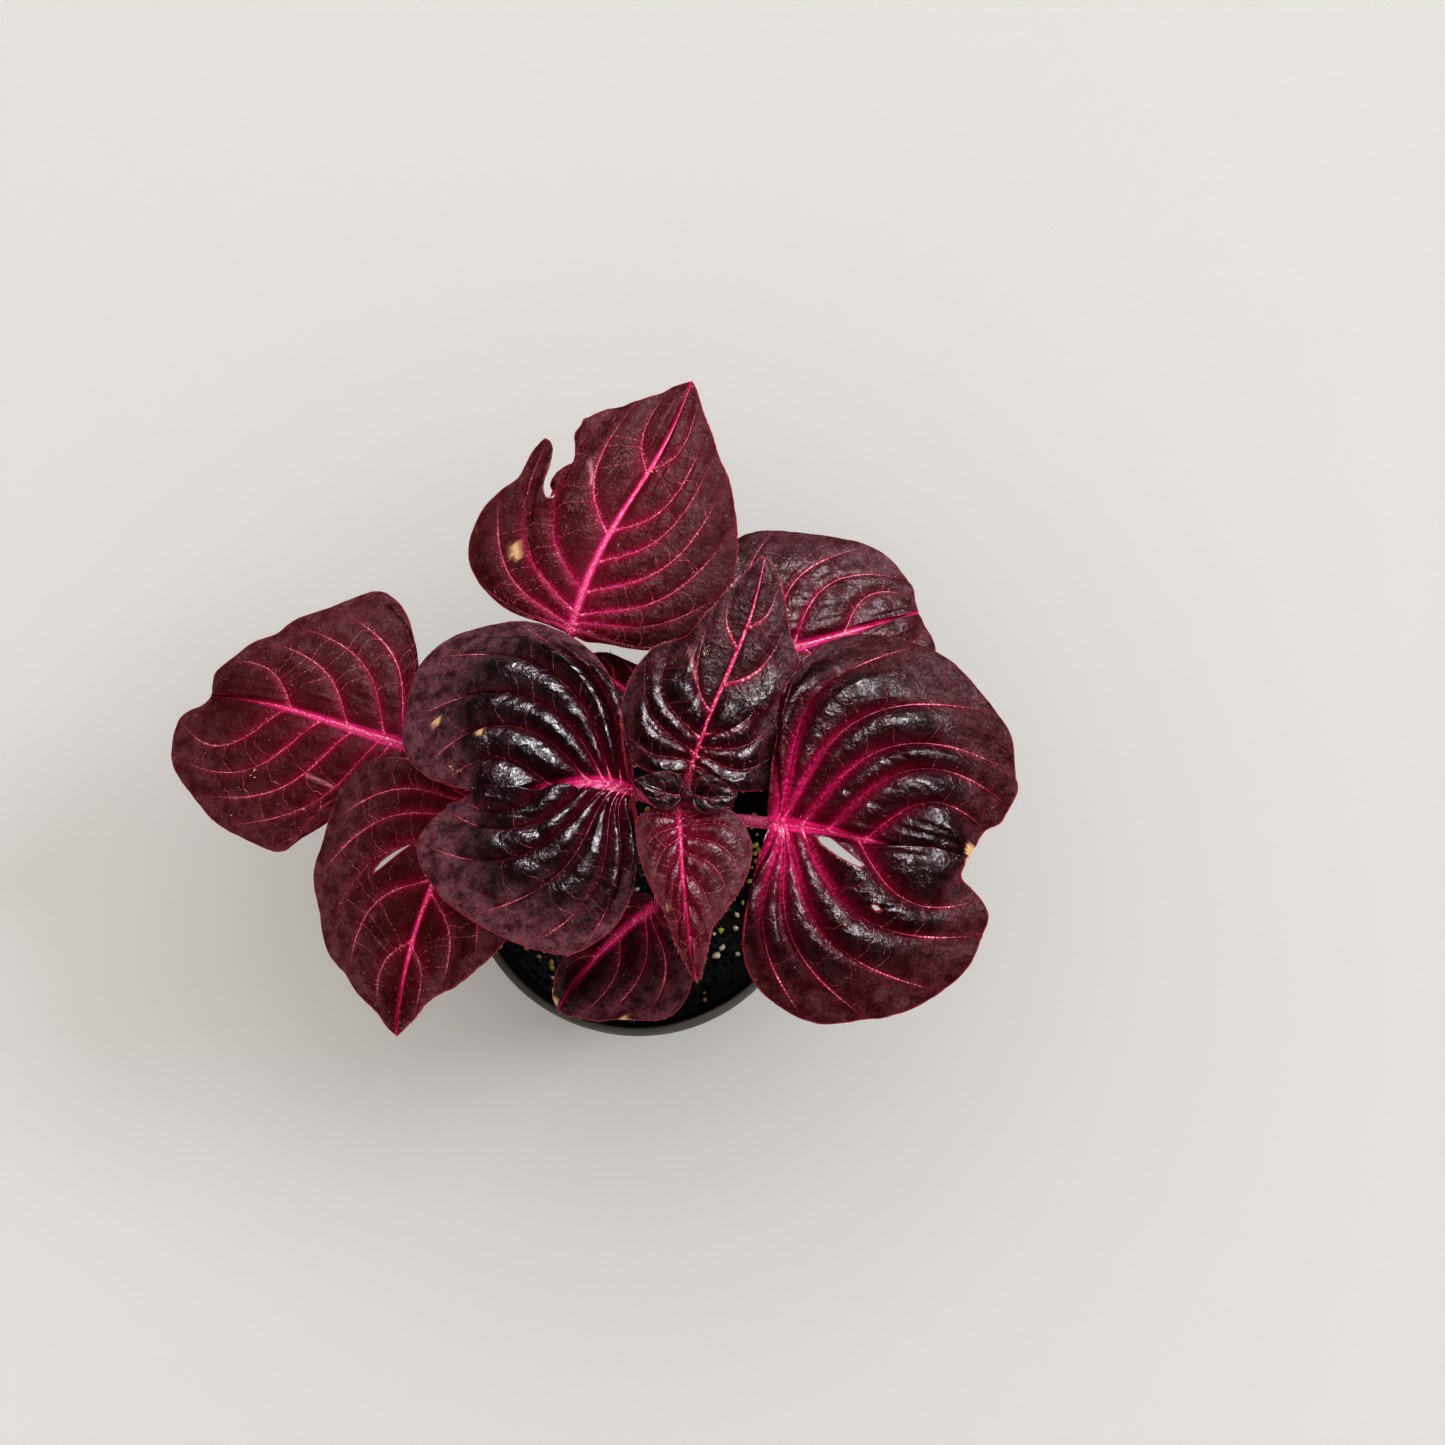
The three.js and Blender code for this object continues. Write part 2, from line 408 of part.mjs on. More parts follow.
// A hole follows the stem down into the soil, a gap wider and deeper.
function stemHole(rows) {
  const foot = rows[0];
  const next = rows[1];
  const t = (SOIL_TOP + HOLE_DEPTH - foot[2]) / (next[2] - foot[2]);
  const top = new THREE.Vector3(
    foot[0] + (next[0] - foot[0]) * t,
    foot[1] + (next[1] - foot[1]) * t,
    SOIL_TOP + HOLE_DEPTH,
  );
  const bottom = new THREE.Vector3(foot[0], foot[1], foot[2] - GAP);
  const radius = foot[3] + 1.6 * GAP;
  return tube([bottom, top], [radius, radius], 14);
}

// Leaves. Flat coordinates: s runs along the midrib line from the blade's base, t to its left.
const radians = THREE.MathUtils.degToRad;

function smoothLine(corners, steps) {
  const curve = new THREE.CatmullRomCurve3(
    corners.map(([s, t]) => new THREE.Vector3(s, t, 0)),
    false,
    'catmullrom',
    0.5,
  );
  const line = [];
  for (let i = 0; i <= (corners.length - 1) * steps; i += 1) {
    line.push(curve.getPoint(i / ((corners.length - 1) * steps)));
  }
  return line;
}

function midribPoint(leaf, share) {
  const sway = leaf.bow[0] * Math.sin(Math.PI * share) + leaf.bow[1] * Math.sin(2 * Math.PI * share);
  return new THREE.Vector2(leaf.length * share, sway);
}

// One half of a blade: its margin with running length, and its veins from base to tip.
function halfBlade(leaf, side) {
  const sign = side === 'left' ? 1 : -1;
  const corners = [[0, 0], ...leaf[side].map(([s, t]) => [s, sign * t]), [leaf.length, 0]];
  const line = smoothLine(corners, MARGIN_STEPS);
  const run = [0];
  for (let i = 1; i < line.length; i += 1) {
    run.push(run[i - 1] + line[i].distanceTo(line[i - 1]));
  }
  const veins = [[0, 0], ...leaf[side === 'left' ? 'leftVeins' : 'rightVeins'], [1, 1]];
  return { leaf, sign, line, run, veins };
}

function marginPoint(half, share) {
  const target = Math.min(Math.max(share, 0), 1) * half.run[half.run.length - 1];
  let i = 1;
  while (i < half.run.length - 1 && half.run[i] < target) {
    i += 1;
  }
  const f = (target - half.run[i - 1]) / (half.run[i] - half.run[i - 1]);
  const point = half.line[i - 1].clone().lerp(half.line[i], f);
  return new THREE.Vector2(point.x, point.y);
}

// A point of the half blade: row counts the veins from the base, column goes from midrib to margin.
// Each row is one cubic curve that leaves the midrib forwards and turns to run along the margin.
function flatPoint(half, row, column) {
  const k = Math.min(Math.floor(row), half.veins.length - 2);
  const f = row - k;
  const start = half.veins[k][0] + (half.veins[k + 1][0] - half.veins[k][0]) * f;
  const end = half.veins[k][1] + (half.veins[k + 1][1] - half.veins[k][1]) * f;
  const p0 = midribPoint(half.leaf, start);
  const p3 = marginPoint(half, end);
  const chord = p3.clone().sub(p0);
  const reach = chord.length();
  if (reach < 1e-6) {
    return p0;
  }
  const near = Math.min(Math.max(start, 0.001), 0.999);
  const along = midribPoint(half.leaf, near + 1e-4).sub(midribPoint(half.leaf, near - 1e-4)).normalize();
  const out = new THREE.Vector2(-along.y, along.x).multiplyScalar(half.sign);
  const swing = Math.atan2(chord.dot(out), chord.dot(along)) - radians(VEIN_LOBE_LAG);
  const angle = Math.max(radians(VEIN_ANGLE_BASE + (VEIN_ANGLE_TIP - VEIN_ANGLE_BASE) * start), swing);
  const leave = along.clone().multiplyScalar(Math.cos(angle)).addScaledVector(out, Math.sin(angle));
  const edge = marginPoint(half, end + 0.01).sub(marginPoint(half, end - 0.01)).normalize();
  const arrive = chord.clone().multiplyScalar((1 - VEIN_ALONG_MARGIN) / reach)
    .addScaledVector(edge, VEIN_ALONG_MARGIN).normalize();
  const p1 = p0.clone().addScaledVector(leave, VEIN_START * reach);
  const p2 = p3.clone().addScaledVector(arrive, -VEIN_END * reach);
  const a = column;
  const b = 1 - column;
  return new THREE.Vector2()
    .addScaledVector(p0, b * b * b)
    .addScaledVector(p1, 3 * b * b * a)
    .addScaledVector(p2, 3 * b * a * a)
    .addScaledVector(p3, a * a * a);
}

// The blade bends along the midrib and across it on arcs of constant curvature.
function bladeSurface(leaf, s, t, side) {
  const bend = radians(leaf.arch) / leaf.length;
  const pitch0 = radians(leaf.rise);
  const pitch = pitch0 - bend * s;
  const half = side > 0 ? 0 : 1;
  const curl = radians(leaf.curl[half]) / leaf.span;
  const fold = radians(leaf.fold[half]);
  const angle = fold - curl * Math.abs(t);
  const across = side * ((Math.sin(fold) - Math.sin(angle)) / curl);
  const up = (Math.cos(angle) - Math.cos(fold)) / curl;
  const x = (Math.sin(pitch0) - Math.sin(pitch)) / bend - Math.sin(pitch) * up;
  const z = (Math.cos(pitch) - Math.cos(pitch0)) / bend + Math.cos(pitch) * up;
  return new THREE.Vector3(x, across, z)
    .applyAxisAngle(new THREE.Vector3(1, 0, 0), radians(leaf.roll))
    .applyAxisAngle(new THREE.Vector3(0, 0, 1), radians(leaf.heading))
    .add(new THREE.Vector3(...leaf.base));
}

function halfNormal(leaf, s, t, side) {
  const ds = bladeSurface(leaf, s + 0.05, t, side).sub(bladeSurface(leaf, s - 0.05, t, side));
  const dt = bladeSurface(leaf, s, t + side * 0.05, side).sub(bladeSurface(leaf, s, t, side));
  return new THREE.Vector3().crossVectors(ds, dt).multiplyScalar(side).normalize();
}

function bladeNormal(leaf, s, t) {
  if (Math.abs(t) > 0.02) {
    return halfNormal(leaf, s, t, Math.sign(t));
  }
  return halfNormal(leaf, s, 0, 1).add(halfNormal(leaf, s, 0, -1)).normalize();
}

// The blade puffs up between its veins, and its margin waves a little.
function relief(half, row, column) {
  const k = Math.min(Math.floor(row), half.veins.length - 2);
  const width = flatPoint(half, k, column).distanceTo(flatPoint(half, k + 1, column));
  const between = Math.max(0, Math.sin(Math.PI * (row - k))) ** 0.8;
  const inward = Math.min(1, column / 0.13) * (1 - column ** 3);
  const [size, count, phase] = half.leaf.wave;
  const wave = size * column ** 3 * Math.sin((2 * Math.PI * count * row) / half.veins.length + phase);
  const ends = Math.sin((Math.PI * row) / (half.veins.length - 1));
  return half.leaf.puff * between * inward * (width / (width + 5)) + wave * ends;
}

function halfRows(half) {
  const rows = [];
  for (let k = 0; k < half.veins.length - 1; k += 1) {
    rows.push(k, k + 0.5);
  }
  return rows.slice(1);
}

// Joins two lines of points that share their ends into triangles, in order of position.
function zip(left, right, triangles) {
  let i = 0;
  let j = 0;
  while (i < left.length - 1 || j < right.length - 1) {
    const nextLeft = i < left.length - 1 ? left[i + 1].at : Infinity;
    const nextRight = j < right.length - 1 ? right[j + 1].at : Infinity;
    const a = left[i].id;
    const b = right[j].id;
    const c = nextLeft <= nextRight ? left[(i += 1)].id : right[(j += 1)].id;
    if (a !== b && b !== c && a !== c) {
      triangles.push([a, c, b]);
    }
  }
}

// The middle sheet of a blade, as points with their normals, and triangles seen from above.
function bladeSheet(leaf) {
  const points = [];
  const triangles = [];
  const add = (flat, lift) => {
    const side = Math.abs(flat.y) > 0.02 ? Math.sign(flat.y) : 1;
    const normal = bladeNormal(leaf, flat.x, flat.y);
    const place = bladeSurface(leaf, flat.x, flat.y, side).addScaledVector(normal, lift);
    return points.push({ place, normal }) - 1;
  };
  const halves = [halfBlade(leaf, 'left'), halfBlade(leaf, 'right')];
  const base = add(midribPoint(leaf, 0), 0);
  const tip = add(midribPoint(leaf, 1), 0);
  const starts = new Set();
  halves.forEach((half) => halfRows(half).forEach((row) => {
    const k = Math.floor(row);
    const f = row - k;
    starts.add((half.veins[k][0] * (1 - f) + half.veins[k + 1][0] * f).toFixed(5));
  }));
  const spine = [...starts].map(Number).sort((a, b) => a - b);
  const midrib = [
    { id: base, at: 0 },
    ...spine.map((at) => ({ id: add(midribPoint(leaf, at), 0), at })),
    { id: tip, at: 1 },
  ];
  halves.forEach((half) => {
    const rows = halfRows(half);
    const columns = leaf.length < SMALL_BLADE_LENGTH ? SMALL_BLADE_COLUMNS : BLADE_COLUMNS;
    const ids = rows.map((row) => columns.map((column) => (
      add(flatPoint(half, row, column), relief(half, row, column)))));
    const own = [];
    const first = rows.map((row, i) => {
      const k = Math.floor(row);
      const f = row - k;
      const at = half.veins[k][0] * (1 - f) + half.veins[k + 1][0] * f;
      return { id: ids[i][0], at: Number(at.toFixed(5)) };
    });
    zip(midrib, [{ id: base, at: 0 }, ...first, { id: tip, at: 1 }], own);
    for (let j = 0; j < columns.length - 1; j += 1) {
      own.push([base, ids[0][j], ids[0][j + 1]]);
      own.push([tip, ids[rows.length - 1][j + 1], ids[rows.length - 1][j]]);
      for (let i = 0; i < rows.length - 1; i += 1) {
        own.push([ids[i][j], ids[i + 1][j], ids[i + 1][j + 1]]);
        own.push([ids[i][j], ids[i + 1][j + 1], ids[i][j + 1]]);
      }
    }
    own.forEach(([a, b, c]) => triangles.push(half.sign > 0 ? [a, b, c] : [a, c, b]));
  });
  return { points, triangles };
}

// A sheet given thickness: the same triangles above and below, closed round the margin.
function thicken(sheet, thickness) {
  const count = sheet.points.length;
  const offset = (lift) => sheet.points.map(
    ({ place, normal }) => place.clone().addScaledVector(normal, lift),
  );
  const points = [...offset(thickness / 2), ...offset(-thickness / 2)];
  const triangles = [];
  const edges = new Set(sheet.triangles.flatMap(([a, b, c]) => [`${a},${b}`, `${b},${c}`, `${c},${a}`]));
  sheet.triangles.forEach(([a, b, c]) => {
    triangles.push([a, b, c], [a + count, c + count, b + count]);
    [[a, b], [b, c], [c, a]].forEach(([u, v]) => {
      if (!edges.has(`${v},${u}`)) {
        triangles.push([v, u, u + count], [v, u + count, v + count]);
      }
    });
  });
  return indexedGeometry(points, triangles);
}

// The petiole swings from the stem to the blade's base and goes on as the rib under the midrib.
function ribGeometry(leaf, scale) {
  const from = new THREE.Vector3(...leaf.from);
  const start = bladeSurface(leaf, 0, 0, 1);
  const ahead = bladeSurface(leaf, 1, 0, 1).sub(start).normalize();
  const stretch = from.distanceTo(start);
  const sunk = (radius) => RIB_ABOVE_BLADE + BLADE_THICKNESS / 2 - radius;
  const radiusAt = (share) => scale * (RIB_TIP_RADIUS + (RIB_RADIUS - RIB_TIP_RADIUS) * (1 - share) ** 1.2);
  const end = start.clone().addScaledVector(bladeNormal(leaf, 0, 0), sunk(radiusAt(0)));
  const path = new THREE.CubicBezierCurve3(
    from,
    from.clone().add(new THREE.Vector3((end.x - from.x) * 0.3, (end.y - from.y) * 0.3, stretch * 0.28)),
    end.clone().addScaledVector(ahead, -0.35 * stretch),
    end,
  );
  const points = path.getPoints(stretch > 14 ? 6 : 3);
  const radii = points.map(() => radiusAt(0));
  const stations = leaf.length < SMALL_BLADE_LENGTH ? SMALL_RIB_STATIONS : RIB_STATIONS;
  stations.forEach((share) => {
    const flat = midribPoint(leaf, share);
    const radius = radiusAt(share);
    points.push(bladeSurface(leaf, flat.x, flat.y, flat.y < 0 ? -1 : 1)
      .addScaledVector(bladeNormal(leaf, flat.x, flat.y), sunk(radius)));
    radii.push(radius);
  });
  return tube(points, radii, RIB_SIDES);
}

// A body that cuts an outline given in flat coordinates right through the blade.
function cutter(leaf, outline) {
  const corners = outline.map(([s, t]) => new THREE.Vector2(s, t));
  if (THREE.ShapeUtils.isClockWise(corners)) {
    corners.reverse();
  }
  const points = corners.map(({ x, y }) => ({
    place: bladeSurface(leaf, x, y, Math.sign(y)),
    normal: bladeNormal(leaf, x, y),
  }));
  return thicken({ points, triangles: THREE.ShapeUtils.triangulateShape(corners, []) }, 7);
}

function leafSolid(leaf, scale = 1) {
  let solid = solidOf(thicken(bladeSheet(leaf), BLADE_THICKNESS));
  (leaf.cuts ?? []).forEach((outline) => {
    solid = solid.subtract(solidOf(cutter(leaf, outline)));
  });
  return solid.add(solidOf(ribGeometry(leaf, scale)));
}

// The shoot's tip: a bud between the two youngest leaves, in one piece.
function shootTipSolid() {
  const bud = new THREE.SphereGeometry(BUD_RADIUS, 10, 8);
  bud.scale(1, 0.8, 1.3);
  bud.translate(...BUD_CENTRE);
  return YOUNG_LEAVES.reduce((solid, leaf) => solid.add(leafSolid(leaf, 0.7)), solidOf(bud));
}

// Materials
function material(color, roughness) {
  return new THREE.MeshStandardMaterial({ color, roughness, metalness: 0 });
}

function addPiece(group, name, geometry, look) {
  const mesh = new THREE.Mesh(geometry, look);
  mesh.name = name;
  group.add(mesh);
}

const plant = new THREE.Group();
const stemNames = Object.keys(STEM_POINTS);
const widerStems = stemNames.map((name) => solidOf(stemGeometry(STEM_POINTS[name], GAP)));

addPiece(plant, 'pot', potGeometry(), material(0x1c1b1c, 0.55));
addPiece(plant, 'soil', soilGeometry(stemNames.map((name) => solidOf(stemHole(STEM_POINTS[name])))),
  material(0x1b1613, 0.95));
stemNames.forEach((name) => {
  addPiece(plant, name, stemGeometry(STEM_POINTS[name], 0), material(0x7c1f3d, 0.5));
});
Object.entries(LEAVES).forEach(([name, leaf]) => {
  const solid = widerStems.reduce((body, stem) => body.subtract(stem), leafSolid(leaf));
  addPiece(plant, name, geometryOf(solid), material(0x4a1226, 0.45));
});
const tip = widerStems.reduce((body, stem) => body.subtract(stem), shootTipSolid());
addPiece(plant, 'shoot_tip', geometryOf(tip), material(0x6d1d3a, 0.4));

export default plant;
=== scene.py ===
"""A potted bloodleaf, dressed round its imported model: leaves, stems, pot, soil and a plain stage.

Lengths in the tables are millimetres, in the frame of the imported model: the origin is the middle
of the pot's foot, +Z is up, +X right and +Y to the back. A leaf's flat coordinates are s, along
its midrib line from the blade's base, and t, to the left of it.
"""
import math

import bpy
import numpy as np
from bpy.props import FloatProperty, FloatVectorProperty, IntProperty, PointerProperty
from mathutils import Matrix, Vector


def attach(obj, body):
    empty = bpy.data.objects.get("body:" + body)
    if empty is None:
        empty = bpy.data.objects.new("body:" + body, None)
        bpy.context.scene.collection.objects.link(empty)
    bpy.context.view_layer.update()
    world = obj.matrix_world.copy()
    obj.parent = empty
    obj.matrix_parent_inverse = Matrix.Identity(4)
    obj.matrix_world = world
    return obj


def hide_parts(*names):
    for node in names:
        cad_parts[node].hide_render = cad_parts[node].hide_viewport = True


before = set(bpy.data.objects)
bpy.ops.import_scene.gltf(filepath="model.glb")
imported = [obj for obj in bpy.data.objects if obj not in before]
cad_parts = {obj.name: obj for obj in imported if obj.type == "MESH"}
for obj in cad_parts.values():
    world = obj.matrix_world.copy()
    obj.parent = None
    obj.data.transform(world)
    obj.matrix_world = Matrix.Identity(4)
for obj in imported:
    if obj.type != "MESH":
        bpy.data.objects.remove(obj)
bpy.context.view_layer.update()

bl_info = {
    "name": "Potted bloodleaf",
    "version": (1, 0, 0),
    "blender": (4, 5, 0),
    "location": "View3D > Sidebar > Bloodleaf",
    "description": "Builds a small bloodleaf in its round nursery pot",
    "category": "Add Mesh",
}

MM = 0.001

# Camera: over the plant, tilted back from straight down
CAMERA_PLACE = (18.31, -59.03, 401.95)
CAMERA_TILT = math.radians(15)
CAMERA_LENS = 38.59

# Light, in metres: a broad window, its brighter panes, which show only as gloss, and a room that
# is a little brighter on one side
WINDOW_PLACE = (4.4, 0.9, 3.7)
WINDOW_TINT = (0.91, 0.96, 1.0)
PANES_PLACE = (0.75, 1.45, 2.0)
PANES_TINT = (0.95, 0.975, 1.0)
PANES_SIZE = 0.6
PANES_POWER = 3.6
LIGHT_TARGET = (0, 0, 0.05)
ROOM_TINT = (1.0, 0.94, 0.88)
ROOM_BRIGHT_SIDE = (0.72, 0.5, 0.5)
ROOM_SPAN = (-0.35, 0.95)
ROOM_SHADE = 0.86

# Pot and soil. Edges of the pot that turn by more than POT_SHARP degrees stay sharp, and the
# soil's skirt runs down inside the pot through (radius, height).
POT_SIDES = 160
POT_ROUNDING = 0.45
POT_SHARP = 50
DRILL_SIDES = 32
DRILL_HEIGHTS = np.array([-1.0, 1.5, 4.5])
SOIL_SIDES = 180
SOIL_RINGS = 66
SOIL_RADII = (0.35, 34.9)
SOIL_ROUGH_WITHIN = 35
SOIL_SKIRT = ((34.5, 55.9), (33.2, 53.5), (26.0, 4.0))
STREWN_RADIUS = 34.2

# Shades that tell the grains apart, bark, tan grit, green grit and perlite, and their shares
GRIT_SHADES = (0.0, 0.34, 0.67, 1.0)
GRIT_SHARES = (0.15, 0.38, 0.27, 0.2)

# Seeds of the random draws. The leaves' seeds count on from the first one's.
SOIL_SEED = 11
CRUMB_SEED = 21
GRIT_SEED = 22
HUSK_SEED = 23
HAIR_SEED = 77
LEAF_SEED = 1
YOUNG_LEAF_SEED = 40

# Midribs and petioles
RIB_RADIUS = 1.15
RIB_TIP_RADIUS = 0.4
RIB_ABOVE_BLADE = 0.25
RIB_SIDES = 14
RIB_STATIONS = 46
PETIOLE_STATIONS = 25

# Side veins: the angle at which they leave the midrib at its base and tip, how much less than
# straight out to their end it may be, and the pull of the curve's two inner points
VEIN_ANGLE_BASE = 60
VEIN_ANGLE_TIP = 34
VEIN_LOBE_LAG = 30
VEIN_START = 0.27
VEIN_END = 0.7
VEIN_ALONG_MARGIN = 0.43
VEIN_STATIONS = 34
VEIN_SIDES = 8
VEINLET_STATIONS = 15
VEINLET_SIDES = 5
VEINLET_ABOVE = 0.03
VEINLETS_FROM_LENGTH = 12

# Blades: the margin's ripple as (wavelength, lane of the noise, share) and the length over which
# it dies away at either end, the spacing of rows and columns with their least and greatest
# number, the columns set close to the margin, and the width over which a sheet thins to its rim
MARGIN_STEPS = 12
MARGIN_RIPPLE = 0.2
MARGIN_WAVES = ((1.7, 3.5, 0.6), (0.8, 7.5, 0.4))
MARGIN_CALM = 4
ROW_SPACING = 0.34
ROWS_IN_BAND = (7, 20)
COLUMN_SPACING = 0.46
COLUMNS_IN_HALF = (14, 60)
LAST_EVEN_COLUMN = 0.972
MARGIN_COLUMNS = (0.983, 0.991, 0.996, 1.0)
RIM_WIDTH = 0.45
HOLE_STEPS = 5
FAR = 99.0

# Relief of the bands between side veins: sizes and heights of the quilting, of the finer grain
# in it and of the wrinkles across a band, and the width at which a band puffs half way up
QUILT_SIZE = 3.1
QUILT_HEIGHT = 0.10
QUILT_PER_PUFF = 0.13
FINE_SIZE = 1.15
FINE_HEIGHT = 0.06
WRINKLE_SIZE = 1.1
WRINKLE_HEIGHT = 0.11
PUFF_WIDTH = 5

# Hairs: shares of their random kind up to which they stand on a vein, and past which on a margin
HAIRS_ON_VEINS = 0.72
HAIRS_ON_MARGIN = 0.86
HAIR_RADIUS = 0.05

# Colours of details that have no setting, as linear red, green and blue
LEAF_RIM = (0.30, 0.055, 0.085)
DUSTY_CORD = (0.44, 0.125, 0.195)
LEAF_BELOW = (0.085, 0.010, 0.026)
LEAF_BELOW_RED = (0.17, 0.018, 0.05)
STEM_BLOTCH = (0.16, 0.008, 0.035)
STEM_STREAK = (0.6, 0.12, 0.18)
HAIR_PINK = (0.50, 0.12, 0.19)
HAIR_WHITE = (0.95, 0.80, 0.80)
HUSK_BROWN = (0.30, 0.17, 0.06)
HUSK_STRAW = (0.62, 0.47, 0.26)
POT_DUST = (0.075, 0.066, 0.055)
POT_RIM_DUST = (0.085, 0.078, 0.070)
POT_LIP = (0.125, 0.125, 0.12)
POT_SCUFF = (0.12, 0.11, 0.10)
PEAT_GRAIN = (0.032, 0.020, 0.012)
PEAT_FIBRE = (0.055, 0.034, 0.018)
BARK = (0.05, 0.028, 0.014)
GREEN_GRIT = (0.52, 0.55, 0.12)
PERLITE = (0.72, 0.66, 0.55)
GRIT_DIRT = (0.03, 0.02, 0.012)

# Stems run through [x, y, z, radius]; the first point stands in the soil.
STEMS = {
    "stem_main": [
        (3.1, -0.2, 49.8, 2.2), (4.1, 0.1, 60, 2.1), (5.5, 0.4, 70, 2.1), (5.7, 0.4, 72.5, 2.6),
        (6.1, 0.5, 75, 2), (7.8, 0.8, 90, 1.9), (9.3, 1.1, 102, 1.9), (9.6, 1.1, 104.5, 2.4),
        (9.9, 1.2, 107, 1.8), (10.8, 1.3, 113, 1.7), (11.1, 1.4, 115.3, 2),
        (11.4, 1.4, 117.5, 1.6), (11.8, 1.5, 120.8, 1.3)],
    "stem_left": [
        (-7.5, -2.6, 49.8, 2.1), (-9.5, -1.2, 60, 2), (-13.5, 2, 73, 1.9), (-17.7, 5.6, 84.5, 1.8),
        (-18.5, 6.3, 87, 2.3), (-19.3, 7, 89.3, 1.7), (-20.9, 8.6, 93.5, 1.6),
        (-21.5, 9.2, 95.2, 2), (-22.1, 9.7, 97, 1.5), (-23.1, 10.4, 100.5, 0.8)],
    "stem_back": [
        (8.1, 11, 49.8, 2), (9.3, 13.5, 58, 1.9), (11.1, 18.5, 71, 1.8), (12.7, 23.8, 82, 1.7),
        (13, 25, 84.5, 2.2), (13.5, 26.5, 87, 1.6), (14.1, 28.5, 90.5, 0.9)],
}

# How a blade looks unless its row says otherwise: redness, purple-grey bloom near the margin,
# partly the blade's own tone and partly painted sheen, strength of the side veins, pink flush at
# the base, gloss, darkness of the bands between veins near the base and the tip, breadth of the
# crimson halos, how crisp the veins' cords stand out of them, and the midrib's strength at base
# and tip and its breadth.
PLAIN_LOOK = dict(red=0.25, bloom=0.3, veins=0.7, flush=0.5, gloss=0.4, bands=(0.4, 0.4),
                  halo=1.0, crisp=1.0, midrib=(0.8, 0.6, 0.7))
PLAIN_LEAF = dict(roll=0, rib=1.0, calm_tip=0, collar=None, cuts=(), marks=(), patches=(),
                  scars=(), flecks=())

